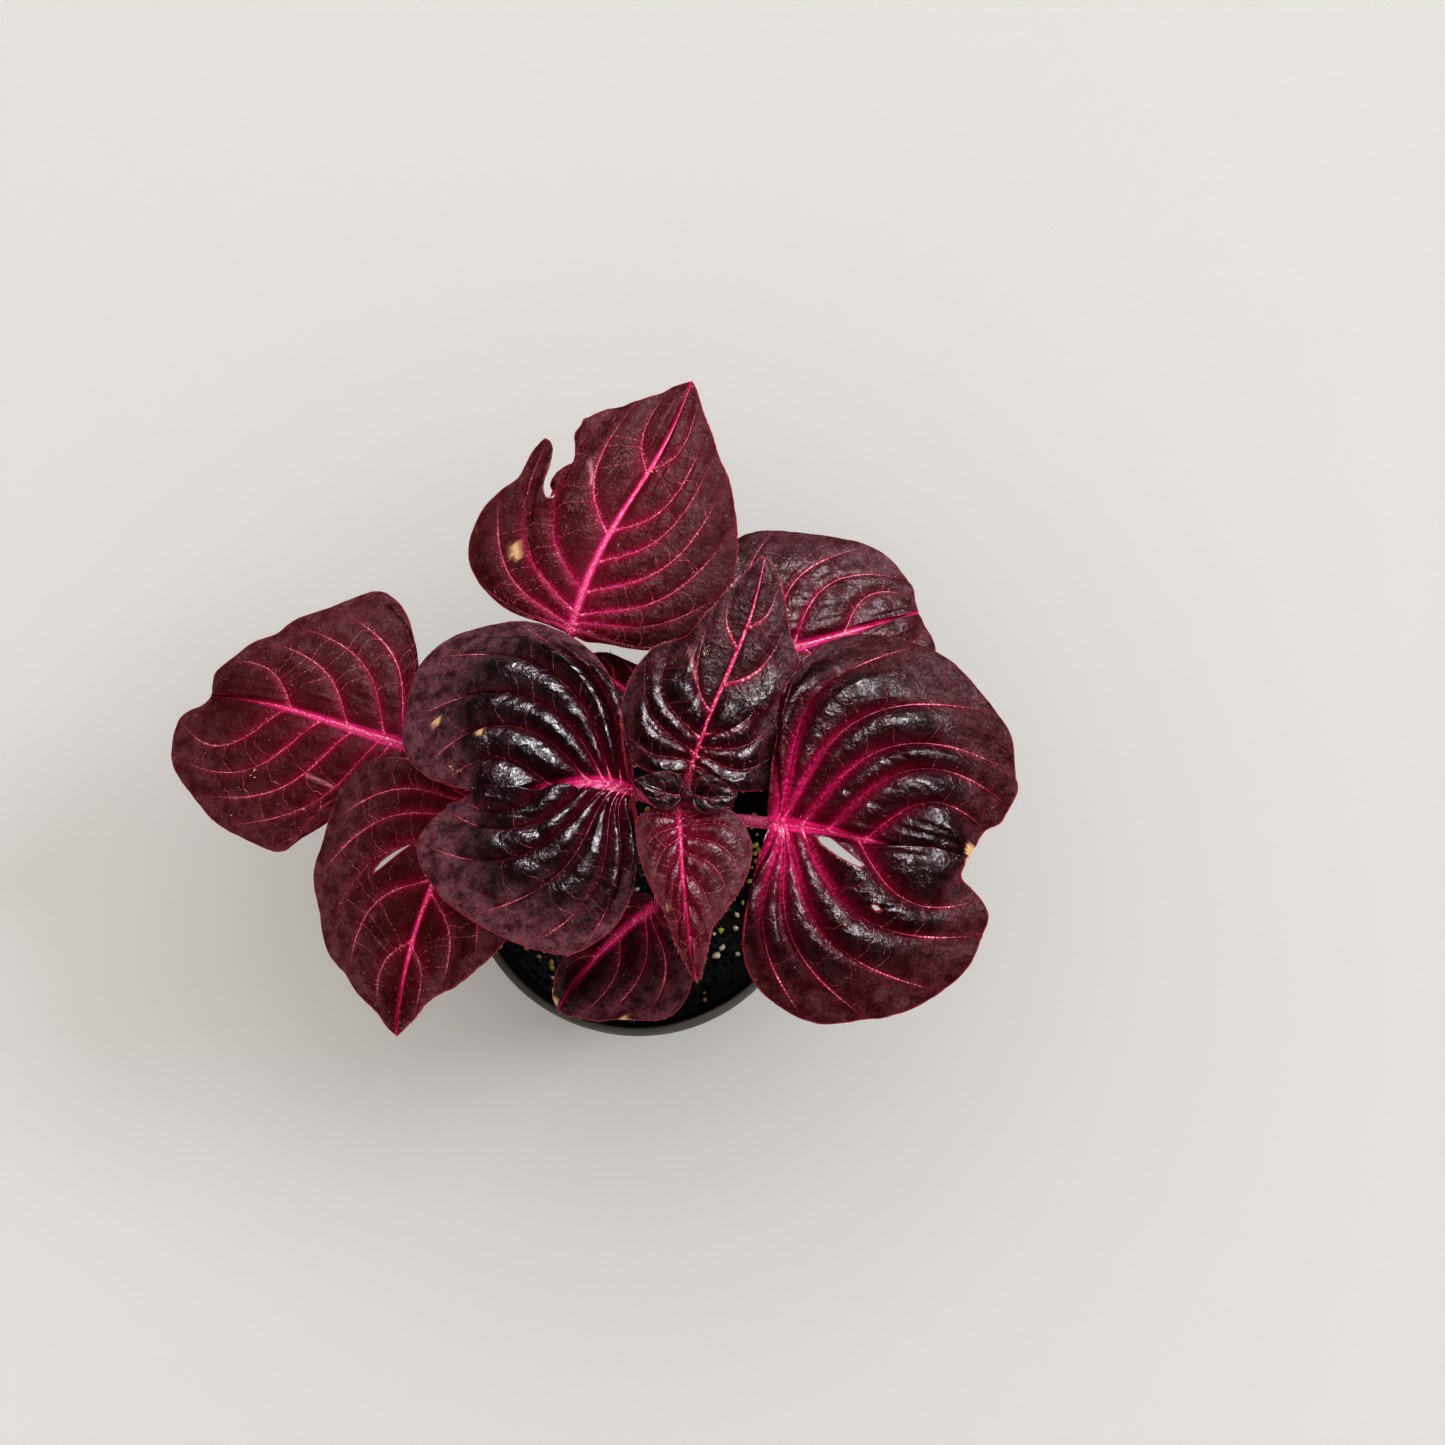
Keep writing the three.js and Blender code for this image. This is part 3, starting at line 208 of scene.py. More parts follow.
# Each leaf's row. Where it lies: the start of its petiole, the blade's base point, the midrib's
# heading, its rise at the base and how far it arches down, its length and its sideways bow as
# one half wave and one whole wave. How it bends: the angle that the left and right halves rise
# by (fold), how far they curl down over the span, and the roll about the midrib. Its relief: the
# height that the bands between veins puff up by, and the margin's wave as (height, count, phase).
# Its outline: the margin's distance from the midrib line for each half, or one margin for both.
# Its veins, as shares of the midrib and of the margin, again for each half or for both. A row may
# add how thick its midrib is (rib), how much the bands flatten past its base (calm_tip), the
# share of the way out where puffed bands end and a flat margin begins (collar), holes and bites
# (cuts), dry spots (marks, as s, t and size), dry patches, pale lines (scars) and bits of husk
# that lie on the blade (flecks, as s, t and size).
LEAVES = {
    "leaf_back_left": dict(
        start=(-21.5, 9.2, 95.2), base=(-13.1, 40.9, 99), heading=66, rise=15, arch=26, length=62,
        bow=(-0.1, 1.3), fold=(4, 4), curl=(22, 22), span=28, puff=1.5, wave=(0.5, 5, 0.4),
        rib=0.85,
        left=[(0, 6), (-0.5, 13), (1, 19.5), (4, 25), (7.5, 28), (12, 29.1), (18, 28.7),
              (22.5, 26.8), (26.5, 24.6), (30.3, 24.6), (33.6, 24.6), (36.4, 23.6), (40, 20.3),
              (43.5, 16.8), (47.5, 13.8), (51, 9.6), (55, 5.6), (59, 2.8)],
        right=[(0, 4), (1, 7.5), (2, 12), (3.2, 16), (6.5, 21.2), (12.5, 25.3), (20, 26.7),
               (26.5, 26), (33, 23.6), (38, 20.8), (43.2, 17), (49.3, 11.2), (55, 6.2), (60, 2)],
        left_veins=[(0.008, 0.24), (0.02, 0.48), (0.07, 0.66), (0.15, 0.8), (0.35, 0.87),
                    (0.6, 0.95)],
        right_veins=[(0.01, 0.22), (0.03, 0.45), (0.06, 0.61), (0.14, 0.73), (0.25, 0.81),
                     (0.37, 0.87), (0.62, 0.95)],
        cuts=[[(39, 27), (37.3, 23.6), (36.5, 21.4), (34.4, 19.8), (31, 18.8), (27, 18.2),
               (24.6, 16.6), (24.5, 15.2), (25.4, 14.6), (26.8, 16.5), (29.2, 16.9), (31.6, 15.9),
               (33.8, 14.7), (36.7, 15.5), (39.7, 17.1), (42.8, 16.8), (46, 19), (44, 27)]],
        look=dict(red=0.46, bloom=0.4, veins=0.9, flush=0.8, gloss=0.16, bands=(0.25, 0.1),
                  halo=0.9, crisp=0.65, midrib=(0.85, 0.8, 0.5)),
        flecks=[(37.9, -2.3, 1.0)],
        patches=[[(12.3, 19.5), (13.4, 16.6), (10.1, 15.1), (9.9, 17.9)]],
        scars=[[(35.1, 11.4), (32.6, 9.6), (30.6, 8.8)]]),
    "leaf_far_left": dict(
        start=(-18.5, 6.3, 87), base=(-46.5, 19.7, 87.9), heading=164.5, rise=6, arch=30,
        length=48.4, bow=(-1, 0.3), fold=(6, 6), curl=(30, 30), span=28, roll=-5, puff=1.9,
        wave=(0.5, 5, 2),
        left=[(1, 5.5), (5, 9.5), (10, 13), (13.5, 16), (16.5, 20), (18.5, 24), (20.2, 27.4),
              (23.5, 29), (28.5, 28.8), (34.2, 27.6), (41, 25.3), (46.6, 22.3), (51, 18.8),
              (54.4, 15), (56, 10.7), (55.4, 6.8), (52.8, 4), (49.8, 2.2)],
        right=[(-0.5, 5), (1.9, 12.5), (5, 19), (8.5, 25.3), (12.5, 29.8), (17, 32.2),
               (20.6, 32.3), (24.3, 29.6), (29.7, 24.9), (34.6, 20.3), (39.5, 15.4),
               (44.6, 11.1), (47.6, 7.7), (49.3, 5), (49.1, 2.6)],
        left_veins=[(0.03, 0.28), (0.08, 0.45), (0.13, 0.58), (0.26, 0.7), (0.41, 0.81),
                    (0.59, 0.9)],
        right_veins=[(0.01, 0.33), (0.03, 0.61), (0.12, 0.72), (0.29, 0.8), (0.56, 0.9)],
        look=dict(red=0.42, bloom=0.65, veins=0.85, flush=0.7, gloss=0.16, bands=(0.2, 0.25),
                  halo=0.85, crisp=0.65, midrib=(0.9, 0.3, 0.75)),
        flecks=[(31, 14.1, 1.3), (18.1, 18.6, 1.0)],
        scars=[[(19.4, 11.3), (16.6, 11.7), (13.1, 12.3)]]),
    "leaf_front_left": dict(
        start=(-21.5, 9.2, 95.2), base=(-30.5, 7, 97), heading=-110, rise=5, arch=40, length=52,
        bow=(-2.4, 0), fold=(4, 4), curl=(25, 30), span=25, puff=1.5, wave=(0.5, 6, 1),
        left=[(-1, 5), (1.5, 7.5), (6, 11.8), (12, 15.2), (18.5, 16.2), (24.5, 15.4),
              (28.5, 13.8), (33.3, 11.2), (36.8, 9), (39.5, 6.5), (43, 4), (47.3, 2.5)],
        right=[(-3, 2), (-5.5, 6), (-6.5, 11.5), (-5, 18), (-3.3, 23), (-0.8, 26.3), (3, 29),
               (7.5, 30.5), (12, 30.8), (17.5, 30.5), (23, 29.7), (28, 28.2), (33.2, 25.3),
               (37.8, 22), (41.2, 18.2), (44, 13.8), (46.3, 9.4), (48.3, 5.6), (50.5, 2.8)],
        left_veins=[(0.03, 0.25), (0.12, 0.5), (0.25, 0.68), (0.4, 0.8), (0.62, 0.92)],
        right_veins=[(0.01, 0.3), (0.02, 0.5), (0.08, 0.63), (0.18, 0.77), (0.35, 0.85),
                     (0.6, 0.94)],
        cuts=[[(13.2, -9.2), (16, -10.9), (19.2, -12.8), (21.6, -14.6), (19, -13.8),
               (16, -11.9)]],
        look=dict(red=0.28, bloom=0.8, veins=0.62, flush=0.4, gloss=0.15, bands=(0.1, 0.1),
                  midrib=(0.5, 0.7, 0.6))),
    "leaf_centre_left": dict(
        start=(9.6, 1.1, 104.5), base=(2, 4.3, 113), heading=178.7, rise=11, arch=26,
        length=31.5, bow=(-1, -1.2), fold=(18, 18), curl=(48, 48), span=36, puff=5.6,
        wave=(0.5, 6, 0), collar=0.84,
        left=[(1.2, 2.7), (0.3, 8), (-0.1, 13.5), (0.1, 18.2), (1.5, 23.2), (4, 26.9),
              (7.8, 29.8), (11.5, 31.5), (15.2, 31.5), (19, 30.5), (23, 28.8), (27, 26.9),
              (31.4, 24.6), (35.8, 21.4), (38.6, 17.7), (41, 13.7), (41.5, 9.8), (40.2, 6.2),
              (37.5, 3.8)],
        right=[(2, 3), (3.2, 8), (4, 13), (4.6, 18.6), (6.1, 23.3), (9.1, 27.7), (13.6, 31.7),
               (18.9, 34.6), (24.4, 36.4), (29.8, 36.7), (35.1, 35.9), (39.6, 34),
               (43.1, 30.5), (45.7, 25.7), (46.9, 20.9), (47.1, 16.3), (47, 12.2),
               (45.8, 7.8), (43, 4.2), (38, 1.8)],
        left_veins=[(0.02, 0.22), (0.05, 0.38), (0.08, 0.5), (0.12, 0.64), (0.17, 0.84),
                    (0.28, 0.93), (0.55, 0.97)],
        right_veins=[(0.03, 0.24), (0.09, 0.47), (0.15, 0.66), (0.2, 0.79), (0.3, 0.89),
                     (0.51, 0.94)],
        look=dict(red=0.06, bloom=1.0, veins=1.0, flush=0.45, gloss=0.75, bands=(0.95, 1.0),
                  halo=0.52, midrib=(0.95, 0.4, 0.8)),
        marks=[(29.3, -11.2, 0.9), (38.7, -13.7, 0.8)],
        flecks=[(35.3, -4.9, 1.1), (32.3, -2.2, 0.9), (33.9, -4.2, 0.9)]),
    "leaf_back_centre": dict(
        start=(11.1, 1.4, 115.3), base=(12.4, 7.6, 120), heading=71, rise=14, arch=18,
        length=43.5, bow=(-1, 0.5), fold=(4, -4), curl=(30, 30), span=22, puff=3.6,
        wave=(0.5, 6, 1), calm_tip=0.85, collar=0.8, rib=0.65,
        left=[(-1.5, 2.5), (-3, 6.5), (-2.5, 10.5), (0, 13), (5.5, 16), (10, 17), (14.8, 16.8),
              (18.8, 15), (22, 11.8), (24, 8.8), (27, 7.6), (31.2, 6), (37.3, 3.4), (41.5, 1.5)],
        right=[(-0.8, 3.5), (-1.5, 7), (-1.2, 10.5), (0.4, 14.4), (3, 15.9), (6, 15.3),
               (8.5, 14.5), (11.4, 13.4), (14, 12.5), (17, 11.9), (20.6, 12), (23.4, 12.7),
               (26, 13.1), (29, 11), (31.3, 9.4), (37.2, 6.1), (42, 2.8)],
        left_veins=[(0.02, 0.28), (0.06, 0.53), (0.13, 0.62), (0.25, 0.79), (0.55, 0.86)],
        right_veins=[(0.01, 0.18), (0.05, 0.36), (0.09, 0.46), (0.15, 0.66), (0.38, 0.79),
                     (0.65, 0.92)],
        look=dict(red=0.14, bloom=0.4, veins=0.6, flush=0.3, gloss=0.7, bands=(0.9, 0.3),
                  halo=0.6, crisp=0.45, midrib=(0.32, 0.5, 0.3)),
        flecks=[(21.7, 4.4, 0.9)],
        scars=[[(21.1, 7.4), (16.1, 4.3)]]),
    "leaf_back_right": dict(
        start=(13, 25, 84.5), base=(25.7, 36.8, 96), heading=18.7, rise=6, arch=30, length=37,
        bow=(-0.8, 0), fold=(8, 8), curl=(35, 35), span=25, puff=2, wave=(0.5, 5, 0),
        left=[(-2, 3), (-3.6, 10), (-2.5, 18), (0, 25), (4, 29.5), (9, 30), (15, 28.2),
              (22, 25), (27, 21.9), (30.5, 19.2), (34, 15.2), (36.5, 11.4), (37.6, 7.5),
              (37.4, 3.5)],
        right=[(-1.5, 5.5), (-0.7, 12.7), (2.2, 20), (9.5, 25.5), (20, 26.5), (28.2, 23),
               (34.7, 17), (37.4, 10), (37.5, 6), (37.2, 2.7)],
        left_veins=[(0.01, 0.3), (0.03, 0.52), (0.08, 0.78), (0.2, 0.91), (0.5, 0.96)],
        right_veins=[(0.01, 0.3), (0.04, 0.52), (0.1, 0.74), (0.24, 0.88), (0.5, 0.95)],
        look=dict(red=0.27, bloom=0.7, veins=0.85, flush=0.7, gloss=0.6, bands=(0.3, 0.2),
                  halo=0.9, crisp=0.7, midrib=(0.9, 0.75, 0.8)),
        marks=[(37.2, 0, 0.8)]),
    "leaf_right": dict(
        start=(9.6, 1.1, 104.5), base=(27.7, -1.6, 114), heading=-9.4, rise=10.5, arch=24,
        length=38, bow=(-0.7, 0.4), fold=(26, 14), curl=(50, 46), span=38, puff=5.2,
        wave=(0.6, 7, 2), collar=0.8,
        left=[(-1, 2.6), (-1.3, 9.4), (-1.6, 17), (-1.3, 22.6), (-0.1, 28.2), (2.1, 33.4),
              (5.2, 37.8), (9.3, 40.9), (14.7, 42.3), (20.4, 41.6), (26.7, 39.2), (32.2, 35.6),
              (36.9, 31), (40.5, 25.8), (42.7, 20.5), (43.8, 15.8), (43.7, 11.4), (42.3, 7.7),
              (39.7, 5.3)],
        right=[(-0.4, 4.4), (-1.3, 9.6), (-2, 15.1), (-2.2, 21), (-1.4, 25.8), (1, 30.5),
               (5.1, 33.9), (11, 36), (17.1, 36), (22.4, 34.5), (28.5, 31.9), (33.4, 29),
               (37.5, 25), (40.4, 20.1), (42, 15.6), (42.6, 11.7), (41.5, 8.6), (38.8, 6.2),
               (36.6, 4.2)],
        left_veins=[(0.005, 0.28), (0.01, 0.54), (0.04, 0.72), (0.14, 0.83), (0.27, 0.89),
                    (0.46, 0.95)],
        right_veins=[(0.01, 0.25), (0.025, 0.43), (0.04, 0.55), (0.06, 0.7), (0.14, 0.83),
                     (0.42, 0.9)],
        cuts=[[(9, -2.5), (10.7, -2), (12.9, -3.7), (15.3, -5.1), (17.6, -6.4), (17.4, -7.1),
               (15, -6.6), (11.9, -5), (9.8, -3.6)],
              [(20.2, -13.2), (21.4, -13.3), (22, -14.2), (20.8, -14)]],
        look=dict(veins=1.0, flush=0.65, gloss=0.55, bands=(0.7, 0.95), halo=0.95,
                  midrib=(1.1, 0.7, 0.9)),
        marks=[(37.4, 1.3, 1.6), (38.2, 0.2, 1.4), (38.2, -1.2, 1.6)]),
    "leaf_front_centre": dict(
        start=(11.1, 1.4, 115.3), base=(10.3, -1.1, 120), heading=-83.8, rise=2, arch=24,
        length=31.5, bow=(-0.6, 0), fold=(6, 6), curl=(25, 25), span=12, puff=2.9,
        wave=(0.4, 4, 0), rib=0.8,
        left=[(-1, 4), (0, 9.5), (3, 12), (7, 13.2), (11.4, 12), (15.5, 9.6), (18.8, 6.8),
              (21.5, 4), (25.5, 2.6), (29.5, 1.3)],
        right=[(-1.5, 4), (-0.5, 7.6), (3, 8.6), (7, 8.2), (10, 7.6), (13, 6.6), (16.6, 5.2),
               (20.6, 3.9), (24.3, 3), (28.5, 1.4)],
        left_veins=[(0.02, 0.25), (0.06, 0.4), (0.12, 0.54), (0.21, 0.66), (0.34, 0.77),
                    (0.5, 0.86), (0.7, 0.94)],
        right_veins=[(0.02, 0.22), (0.07, 0.4), (0.14, 0.55), (0.25, 0.68), (0.38, 0.78),
                     (0.55, 0.88), (0.74, 0.95)],
        look=dict(red=0.42, bloom=1.0, veins=0.5, flush=0.4, gloss=0.6, bands=(0.5, 0.15),
                  crisp=0.35, midrib=(0.5, 0.95, 0.45)),
        marks=[(18.1, -5.4, 0.7), (16.8, -4, 0.6)]),
    "leaf_low_front": dict(
        start=(5.7, 0.4, 72.5), base=(4.3, -12.6, 80), heading=-134.7, rise=-8, arch=24,
        length=31.4, bow=(-1.6, 0), fold=(10, 6), curl=(25, 25), span=18, puff=2.4,
        wave=(0.5, 4, 1),
        left=[(-2.5, 3), (-1.7, 9), (2, 14), (7.6, 17.4), (12.3, 18.4), (16, 17), (19, 14.3),
              (22.5, 10.6), (26, 7.2), (29.2, 3.6)],
        right=[(-1, 2.5), (1, 5), (5, 6.5), (11, 7.5), (16, 8), (21.1, 7.3), (26, 5.6),
               (29.2, 3.8)],
        left_veins=[(0.01, 0.35), (0.04, 0.65), (0.08, 0.82), (0.3, 0.92)],
        right_veins=[(0.05, 0.35), (0.15, 0.6), (0.3, 0.75), (0.5, 0.88)],
        look=dict(red=0.12, bloom=0.9, veins=0.55, flush=0.45, gloss=1.0, bands=(0.7, 0.9),
                  midrib=(0.7, 0.5, 0.8)),
        marks=[(29, -4.5, 1.0), (29.7, -2.2, 1.2), (21.7, 11.3, 1.0)]),
    "leaf_low_back": dict(
        start=(5.7, 0.4, 72.5), base=(11, 5.3, 78), heading=45, rise=12, arch=30, length=15,
        bow=(0.3, 0), fold=(10, 10), curl=(25, 25), span=12, puff=0.7, wave=(0.3, 4, 0),
        margin=[(-0.6, 2.2), (0.8, 4.4), (3.6, 5.6), (7, 5.2), (10.5, 3.4), (13.2, 1.5)],
        veins=[(0.03, 0.3), (0.14, 0.55), (0.35, 0.75), (0.6, 0.9)]),
    "leaf_low_left": dict(
        start=(-18.5, 6.3, 87), base=(-13.5, -0.8, 90), heading=-52, rise=10, arch=30, length=17,
        bow=(0.3, 0), fold=(10, 10), curl=(25, 25), span=12, puff=0.7, wave=(0.3, 4, 0),
        margin=[(-0.6, 2.4), (0.8, 4.8), (4, 6.2), (8, 5.8), (12, 3.7), (15, 1.6)],
        veins=[(0.03, 0.3), (0.14, 0.55), (0.35, 0.75), (0.6, 0.9)]),
    "leaf_hidden_back": dict(
        start=(13, 25, 84.5), base=(7.5, 25.5, 88.5), heading=143, rise=8, arch=30, length=26.4,
        bow=(0.6, 0), fold=(8, 8), curl=(30, 30), span=14, puff=1.1, wave=(0.4, 4, 0),
        left=[(-0.8, 3), (0.5, 7), (5, 9.5), (11, 9.5), (17, 7), (22, 3.5)],
        right=[(-0.8, 2.5), (0.5, 5.5), (4.5, 6.8), (9, 6.4), (13, 5.3), (18, 4.4), (22, 2.8)],
        veins=[(0.03, 0.3), (0.12, 0.5), (0.3, 0.7), (0.55, 0.87)],
        look=dict(bloom=0.5)),
}

# The two youngest leaves, still small, spread left and right from the shoot's tip.
YOUNG_LOOK = dict(red=0.06, veins=0.12, flush=0.2, gloss=1.0, bands=(0.7, 0.7), halo=0.5,
                  midrib=(0.05, 0, 0.3))
YOUNG_LEAVES = [
    dict(start=(11.8, 1.5, 119.8), base=(10.9, 1.8, 122.4), heading=160, rise=16, arch=26,
         length=9.6, bow=(0.8, 0), fold=(24, 10), curl=(40, 30), span=6, roll=-18, puff=0.7,
         wave=(0.25, 4, 1), rib=0.45, look=YOUNG_LOOK,
         left=[(-0.2, 1.4), (1, 3), (3.4, 3.6), (6, 2.6), (8.4, 1)],
         right=[(-0.2, 1.4), (1, 3.2), (3.4, 3.9), (6, 2.8), (8.4, 1)],
         veins=[(0.05, 0.35), (0.3, 0.7)]),
    dict(start=(11.8, 1.5, 119.8), base=(12.7, 2, 122.4), heading=-2, rise=14, arch=30,
         length=8.4, bow=(-0.7, 0), fold=(10, 26), curl=(30, 45), span=6, roll=20, puff=0.7,
         wave=(0.25, 4, 2), rib=0.45, look=YOUNG_LOOK,
         left=[(-0.2, 1.4), (1, 3.2), (3.2, 4), (5.6, 2.9), (7.6, 1.1)],
         right=[(-0.2, 1.4), (1, 2.8), (3.2, 3.4), (5.6, 2.4), (7.6, 1)],
         veins=[(0.05, 0.35), (0.3, 0.7)]),
]
BUD_CENTRE = (11.9, 1.9, 122.6)
BUD_RADII = (1.4, 1.12, 1.82)
BUD_SIDES = 24


def filled(row):
    """A leaf's row with plain values for what it leaves out, and with both halves named."""
    row = {**PLAIN_LEAF, **row, "look": {**PLAIN_LOOK, **row.get("look", {})}}
    for side in ("left", "right"):
        row.setdefault(side, row.get("margin"))
        row.setdefault(side + "_veins", row.get("veins"))
    return row


LEAVES = {name: filled(row) for name, row in LEAVES.items()}
YOUNG_LEAVES = [filled(row) for row in YOUNG_LEAVES]


# Settings that a user would change

def length_property(label, text, value):
    return FloatProperty(name=label, description=text, default=value, min=0, unit="LENGTH",
                         subtype="DISTANCE", precision=5)


def colour_property(label, text, value):
    return FloatVectorProperty(name=label, description=text, default=value, min=0, max=1, size=3,
                               subtype="COLOR")


def count_property(label, text, value, least=0):
    return IntProperty(name=label, description=text, default=value, min=least)


class PotSettings(bpy.types.PropertyGroup):
    height: length_property("Height", "Height of the pot", 0.066)
    rim_radius: length_property("Rim radius", "Outer radius of the rim", 0.038)
    rim_inner_radius: length_property("Rim inner radius", "Inner radius of the rim", 0.0361)
    band_height: length_property("Rim band", "Height of the broad band below the rim", 0.01)
    wall_top_radius: length_property("Wall radius", "Outer radius of the wall at the band", 0.0354)
    foot_radius: length_property("Foot radius", "Outer radius of the foot", 0.027)
    foot_width: length_property("Foot width", "Width of the ring the pot stands on", 0.0026)
    foot_height: length_property("Foot height", "Height of the floor above the ground", 0.0018)
    pad_radius: length_property("Pad radius", "Radius of the flat pad under the middle", 0.009)
    wall: length_property("Wall", "Thickness of the wall", 0.0015)
    floor: length_property("Floor", "Thickness of the floor", 0.0016)
    hole_radius: length_property("Hole radius", "Radius of a drain hole", 0.003)
    hole_circle: length_property("Hole circle", "Radius of the ring of drain holes", 0.016)
    holes: count_property("Drain holes", "Number of drain holes", 6)
    colour: colour_property("Plastic", "Colour of the pot", (0.016, 0.015, 0.0145))


class SoilSettings(bpy.types.PropertyGroup):
    top: length_property("Top", "Height of the soil's surface", 0.0575)
    roughness: length_property("Lumps", "Height of the lumps in the surface", 0.0007)
    grain: length_property("Grains", "Height of the grains that stand up", 0.0008)
    crumbs: count_property("Crumbs", "Number of peat crumbs", 1300)
    fibres: count_property("Fibres", "Number of peat fibres", 90)
    grit: count_property("Grit", "Number of pale grains and husks", 380)
    colour: colour_property("Peat", "Colour of the soil", (0.006, 0.0045, 0.0035))
    grit_colour: colour_property("Grit tone", "Colour of the tan grains", (0.55, 0.38, 0.16))


class StemSettings(bpy.types.PropertyGroup):
    sides: count_property("Sides", "Faces round a stem", 24, least=6)
    colour: colour_property("Stem", "Colour of the stems and petioles", (0.32, 0.016, 0.075))


class LeafSettings(bpy.types.PropertyGroup):
    thickness: length_property("Blade", "Thickness of a blade", 0.00042)
    vein_radius: length_property("Vein", "Radius of a side vein at the midrib", 0.00062)
    veinlet_radius: length_property("Veinlet", "Radius of a cross vein", 0.00015)
    hair_length: length_property("Hair length", "Length of the longest hairs", 0.0010)
    hairs: count_property("Hairs", "Number of hairs on all leaves", 14000)
    dark: colour_property("Dark blade", "Colour of the darkest leaves", (0.014, 0.0012, 0.0020))
    red: colour_property("Red blade", "Colour of the reddest leaves", (0.175, 0.011, 0.017))
    dusty: colour_property("Dusty", "Brown cast over the middle of a blade", (0.13, 0.048, 0.046))
    # Sheen: painted sheen, pale mottles that stand in for the blade's glossy reflection
    painted_sheen: colour_property("Sheen", "Pale mottles over a blade", (0.235, 0.110, 0.130))
    band: colour_property("Rolled bands", "Colour of the glossy bands", (0.0100, 0.0022, 0.0030))
    # Bloom: partly the blade's own purple-grey tone and partly painted sheen
    bloom: colour_property("Bloom", "Purple-grey tone towards the margins", (0.155, 0.079, 0.101))
    crimson: colour_property("Crimson", "Tone beside the veins", (0.31, 0.010, 0.072))
    pink: colour_property("Pink", "Colour of the main veins", (0.71, 0.062, 0.300))
    # Pale: the colour of real scars, and of the glints and lightening painted on the veins
    pale: colour_property("Pale", "Colour of scars and sparkling veins", (0.78, 0.42, 0.46))
    dry: colour_property("Dry", "Colour of dried spots", (0.60, 0.43, 0.26))


class StageSettings(bpy.types.PropertyGroup):
    floor_size: length_property("Floor", "Width of the floor", 6.0)
    floor_colour: colour_property("Floor tone", "Colour of the floor", (0.452, 0.460, 0.470))
    window_size: length_property("Window", "Width of the soft light", 2.1)
    window_power: FloatProperty(name="Window power", description="Strength of the soft light",
                                default=80.0, min=0, unit="POWER")
    fill: FloatProperty(name="Fill", description="Strength of the light from all round",
                        default=1.03, min=0)
    gleam: FloatProperty(name="Gleam", description="How much of the fill glossy faces mirror",
                         default=0.1, min=0, max=1)


SETTINGS = {
    "bloodleaf_pot": PotSettings,
    "bloodleaf_soil": SoilSettings,
    "bloodleaf_stem": StemSettings,
    "bloodleaf_leaf": LeafSettings,
    "bloodleaf_stage": StageSettings,
}


# Curves and noise

def unit(vectors):
    """Vectors of length one."""
    return vectors / np.maximum(np.linalg.norm(vectors, axis=-1, keepdims=True), 1e-12)


def smooth_line(corners, steps):
    """A Catmull-Rom curve: between two corners a cubic whose slope at each of them is half the
    step between that corner's two neighbours."""
    corners = np.asarray(corners, float)
    ends = np.vstack([2 * corners[0] - corners[1], corners, 2 * corners[-1] - corners[-2]])
    before, here, after, beyond = (ends[i:len(ends) - 3 + i, None] for i in range(4))
    u = np.linspace(0, 1, steps, endpoint=False)[:, None]
    line = 0.5 * (2 * here + (after - before) * u
                  + (2 * before - 5 * here + 4 * after - beyond) * u ** 2
                  + (3 * here - before - 3 * after + beyond) * u ** 3)
    return np.vstack([line.reshape(-1, corners.shape[1]), corners[-1:]])


def run_along(line):
    """Length of a line up to each of its points."""
    return np.concatenate([[0], np.cumsum(np.linalg.norm(np.diff(line, axis=0), axis=1))])


def bezier(points, u):
    """A cubic Bezier curve: four control points weighed by the terms of (u + (1 - u)) cubed."""
    v = 1 - u
    return (v ** 3 * points[0] + 3 * v * v * u * points[1] + 3 * v * u * u * points[2]
            + u ** 3 * points[3])


def soft_noise(x, y, seed):
    """Smooth noise from -1 to 1: random values on a square lattice one unit apart, blended by a
    cubic step along x and y."""
    lattice = np.random.default_rng(seed).uniform(-1, 1, (64, 64))
    ix, iy = np.floor(x).astype(int), np.floor(y).astype(int)
    fx, fy = x - ix, y - iy
    fx, fy = fx * fx * (3 - 2 * fx), fy * fy * (3 - 2 * fy)
    near, far = ix % 64, (ix + 1) % 64
    low, high = iy % 64, (iy + 1) % 64
    return ((lattice[near, low] * (1 - fx) + lattice[far, low] * fx) * (1 - fy)
            + (lattice[near, high] * (1 - fx) + lattice[far, high] * fx) * fy)


def patch_noise(flat, size, shift, seed):
    """Soft noise over places in the plane, with patches of a size. The shift picks which stretch
    of the lattice they fall on."""
    return soft_noise(flat[..., 0] / size + shift, flat[..., 1] / size + shift, seed)


def smooth_step(value, low, high):
    """0 below low, 1 above high, and a cubic ease between them."""
    u = np.clip((value - low) / (high - low), 0, 1)
    return u * u * (3 - 2 * u)


def bell(distance, width, power=2):
    """1 at no distance, and e to the minus 1 at the width: exp(-(distance / width) ** power)."""
    return np.exp(-(distance / width) ** power)


def nearest_piece(points, starts, steps):
    """For each point the straight piece nearest to it, how far along that piece the point falls
    when dropped on it and held between its ends, and the distance left."""
    offsets = points[:, None] - starts
    share = np.clip((offsets * steps).sum(-1) / np.maximum((steps ** 2).sum(-1), 1e-12), 0, 1)
    squares = ((offsets - share[..., None] * steps) ** 2).sum(-1)
    nearest = squares.argmin(1)
    own = np.arange(len(points))
    return nearest, share[own, nearest], np.sqrt(squares[own, nearest])


def line_distance(points, lines):
    """Distance in the plane from each point to the nearest of the lines, which line that is, and
    how far along it the nearest place lies."""
    starts = lines[:, :-1].reshape(-1, 2)
    steps = lines[:, 1:].reshape(-1, 2) - starts
    nearest, share, distance = nearest_piece(points, starts, steps)
    pieces = lines.shape[1] - 1
    return distance, nearest // pieces, (nearest % pieces + share) / pieces


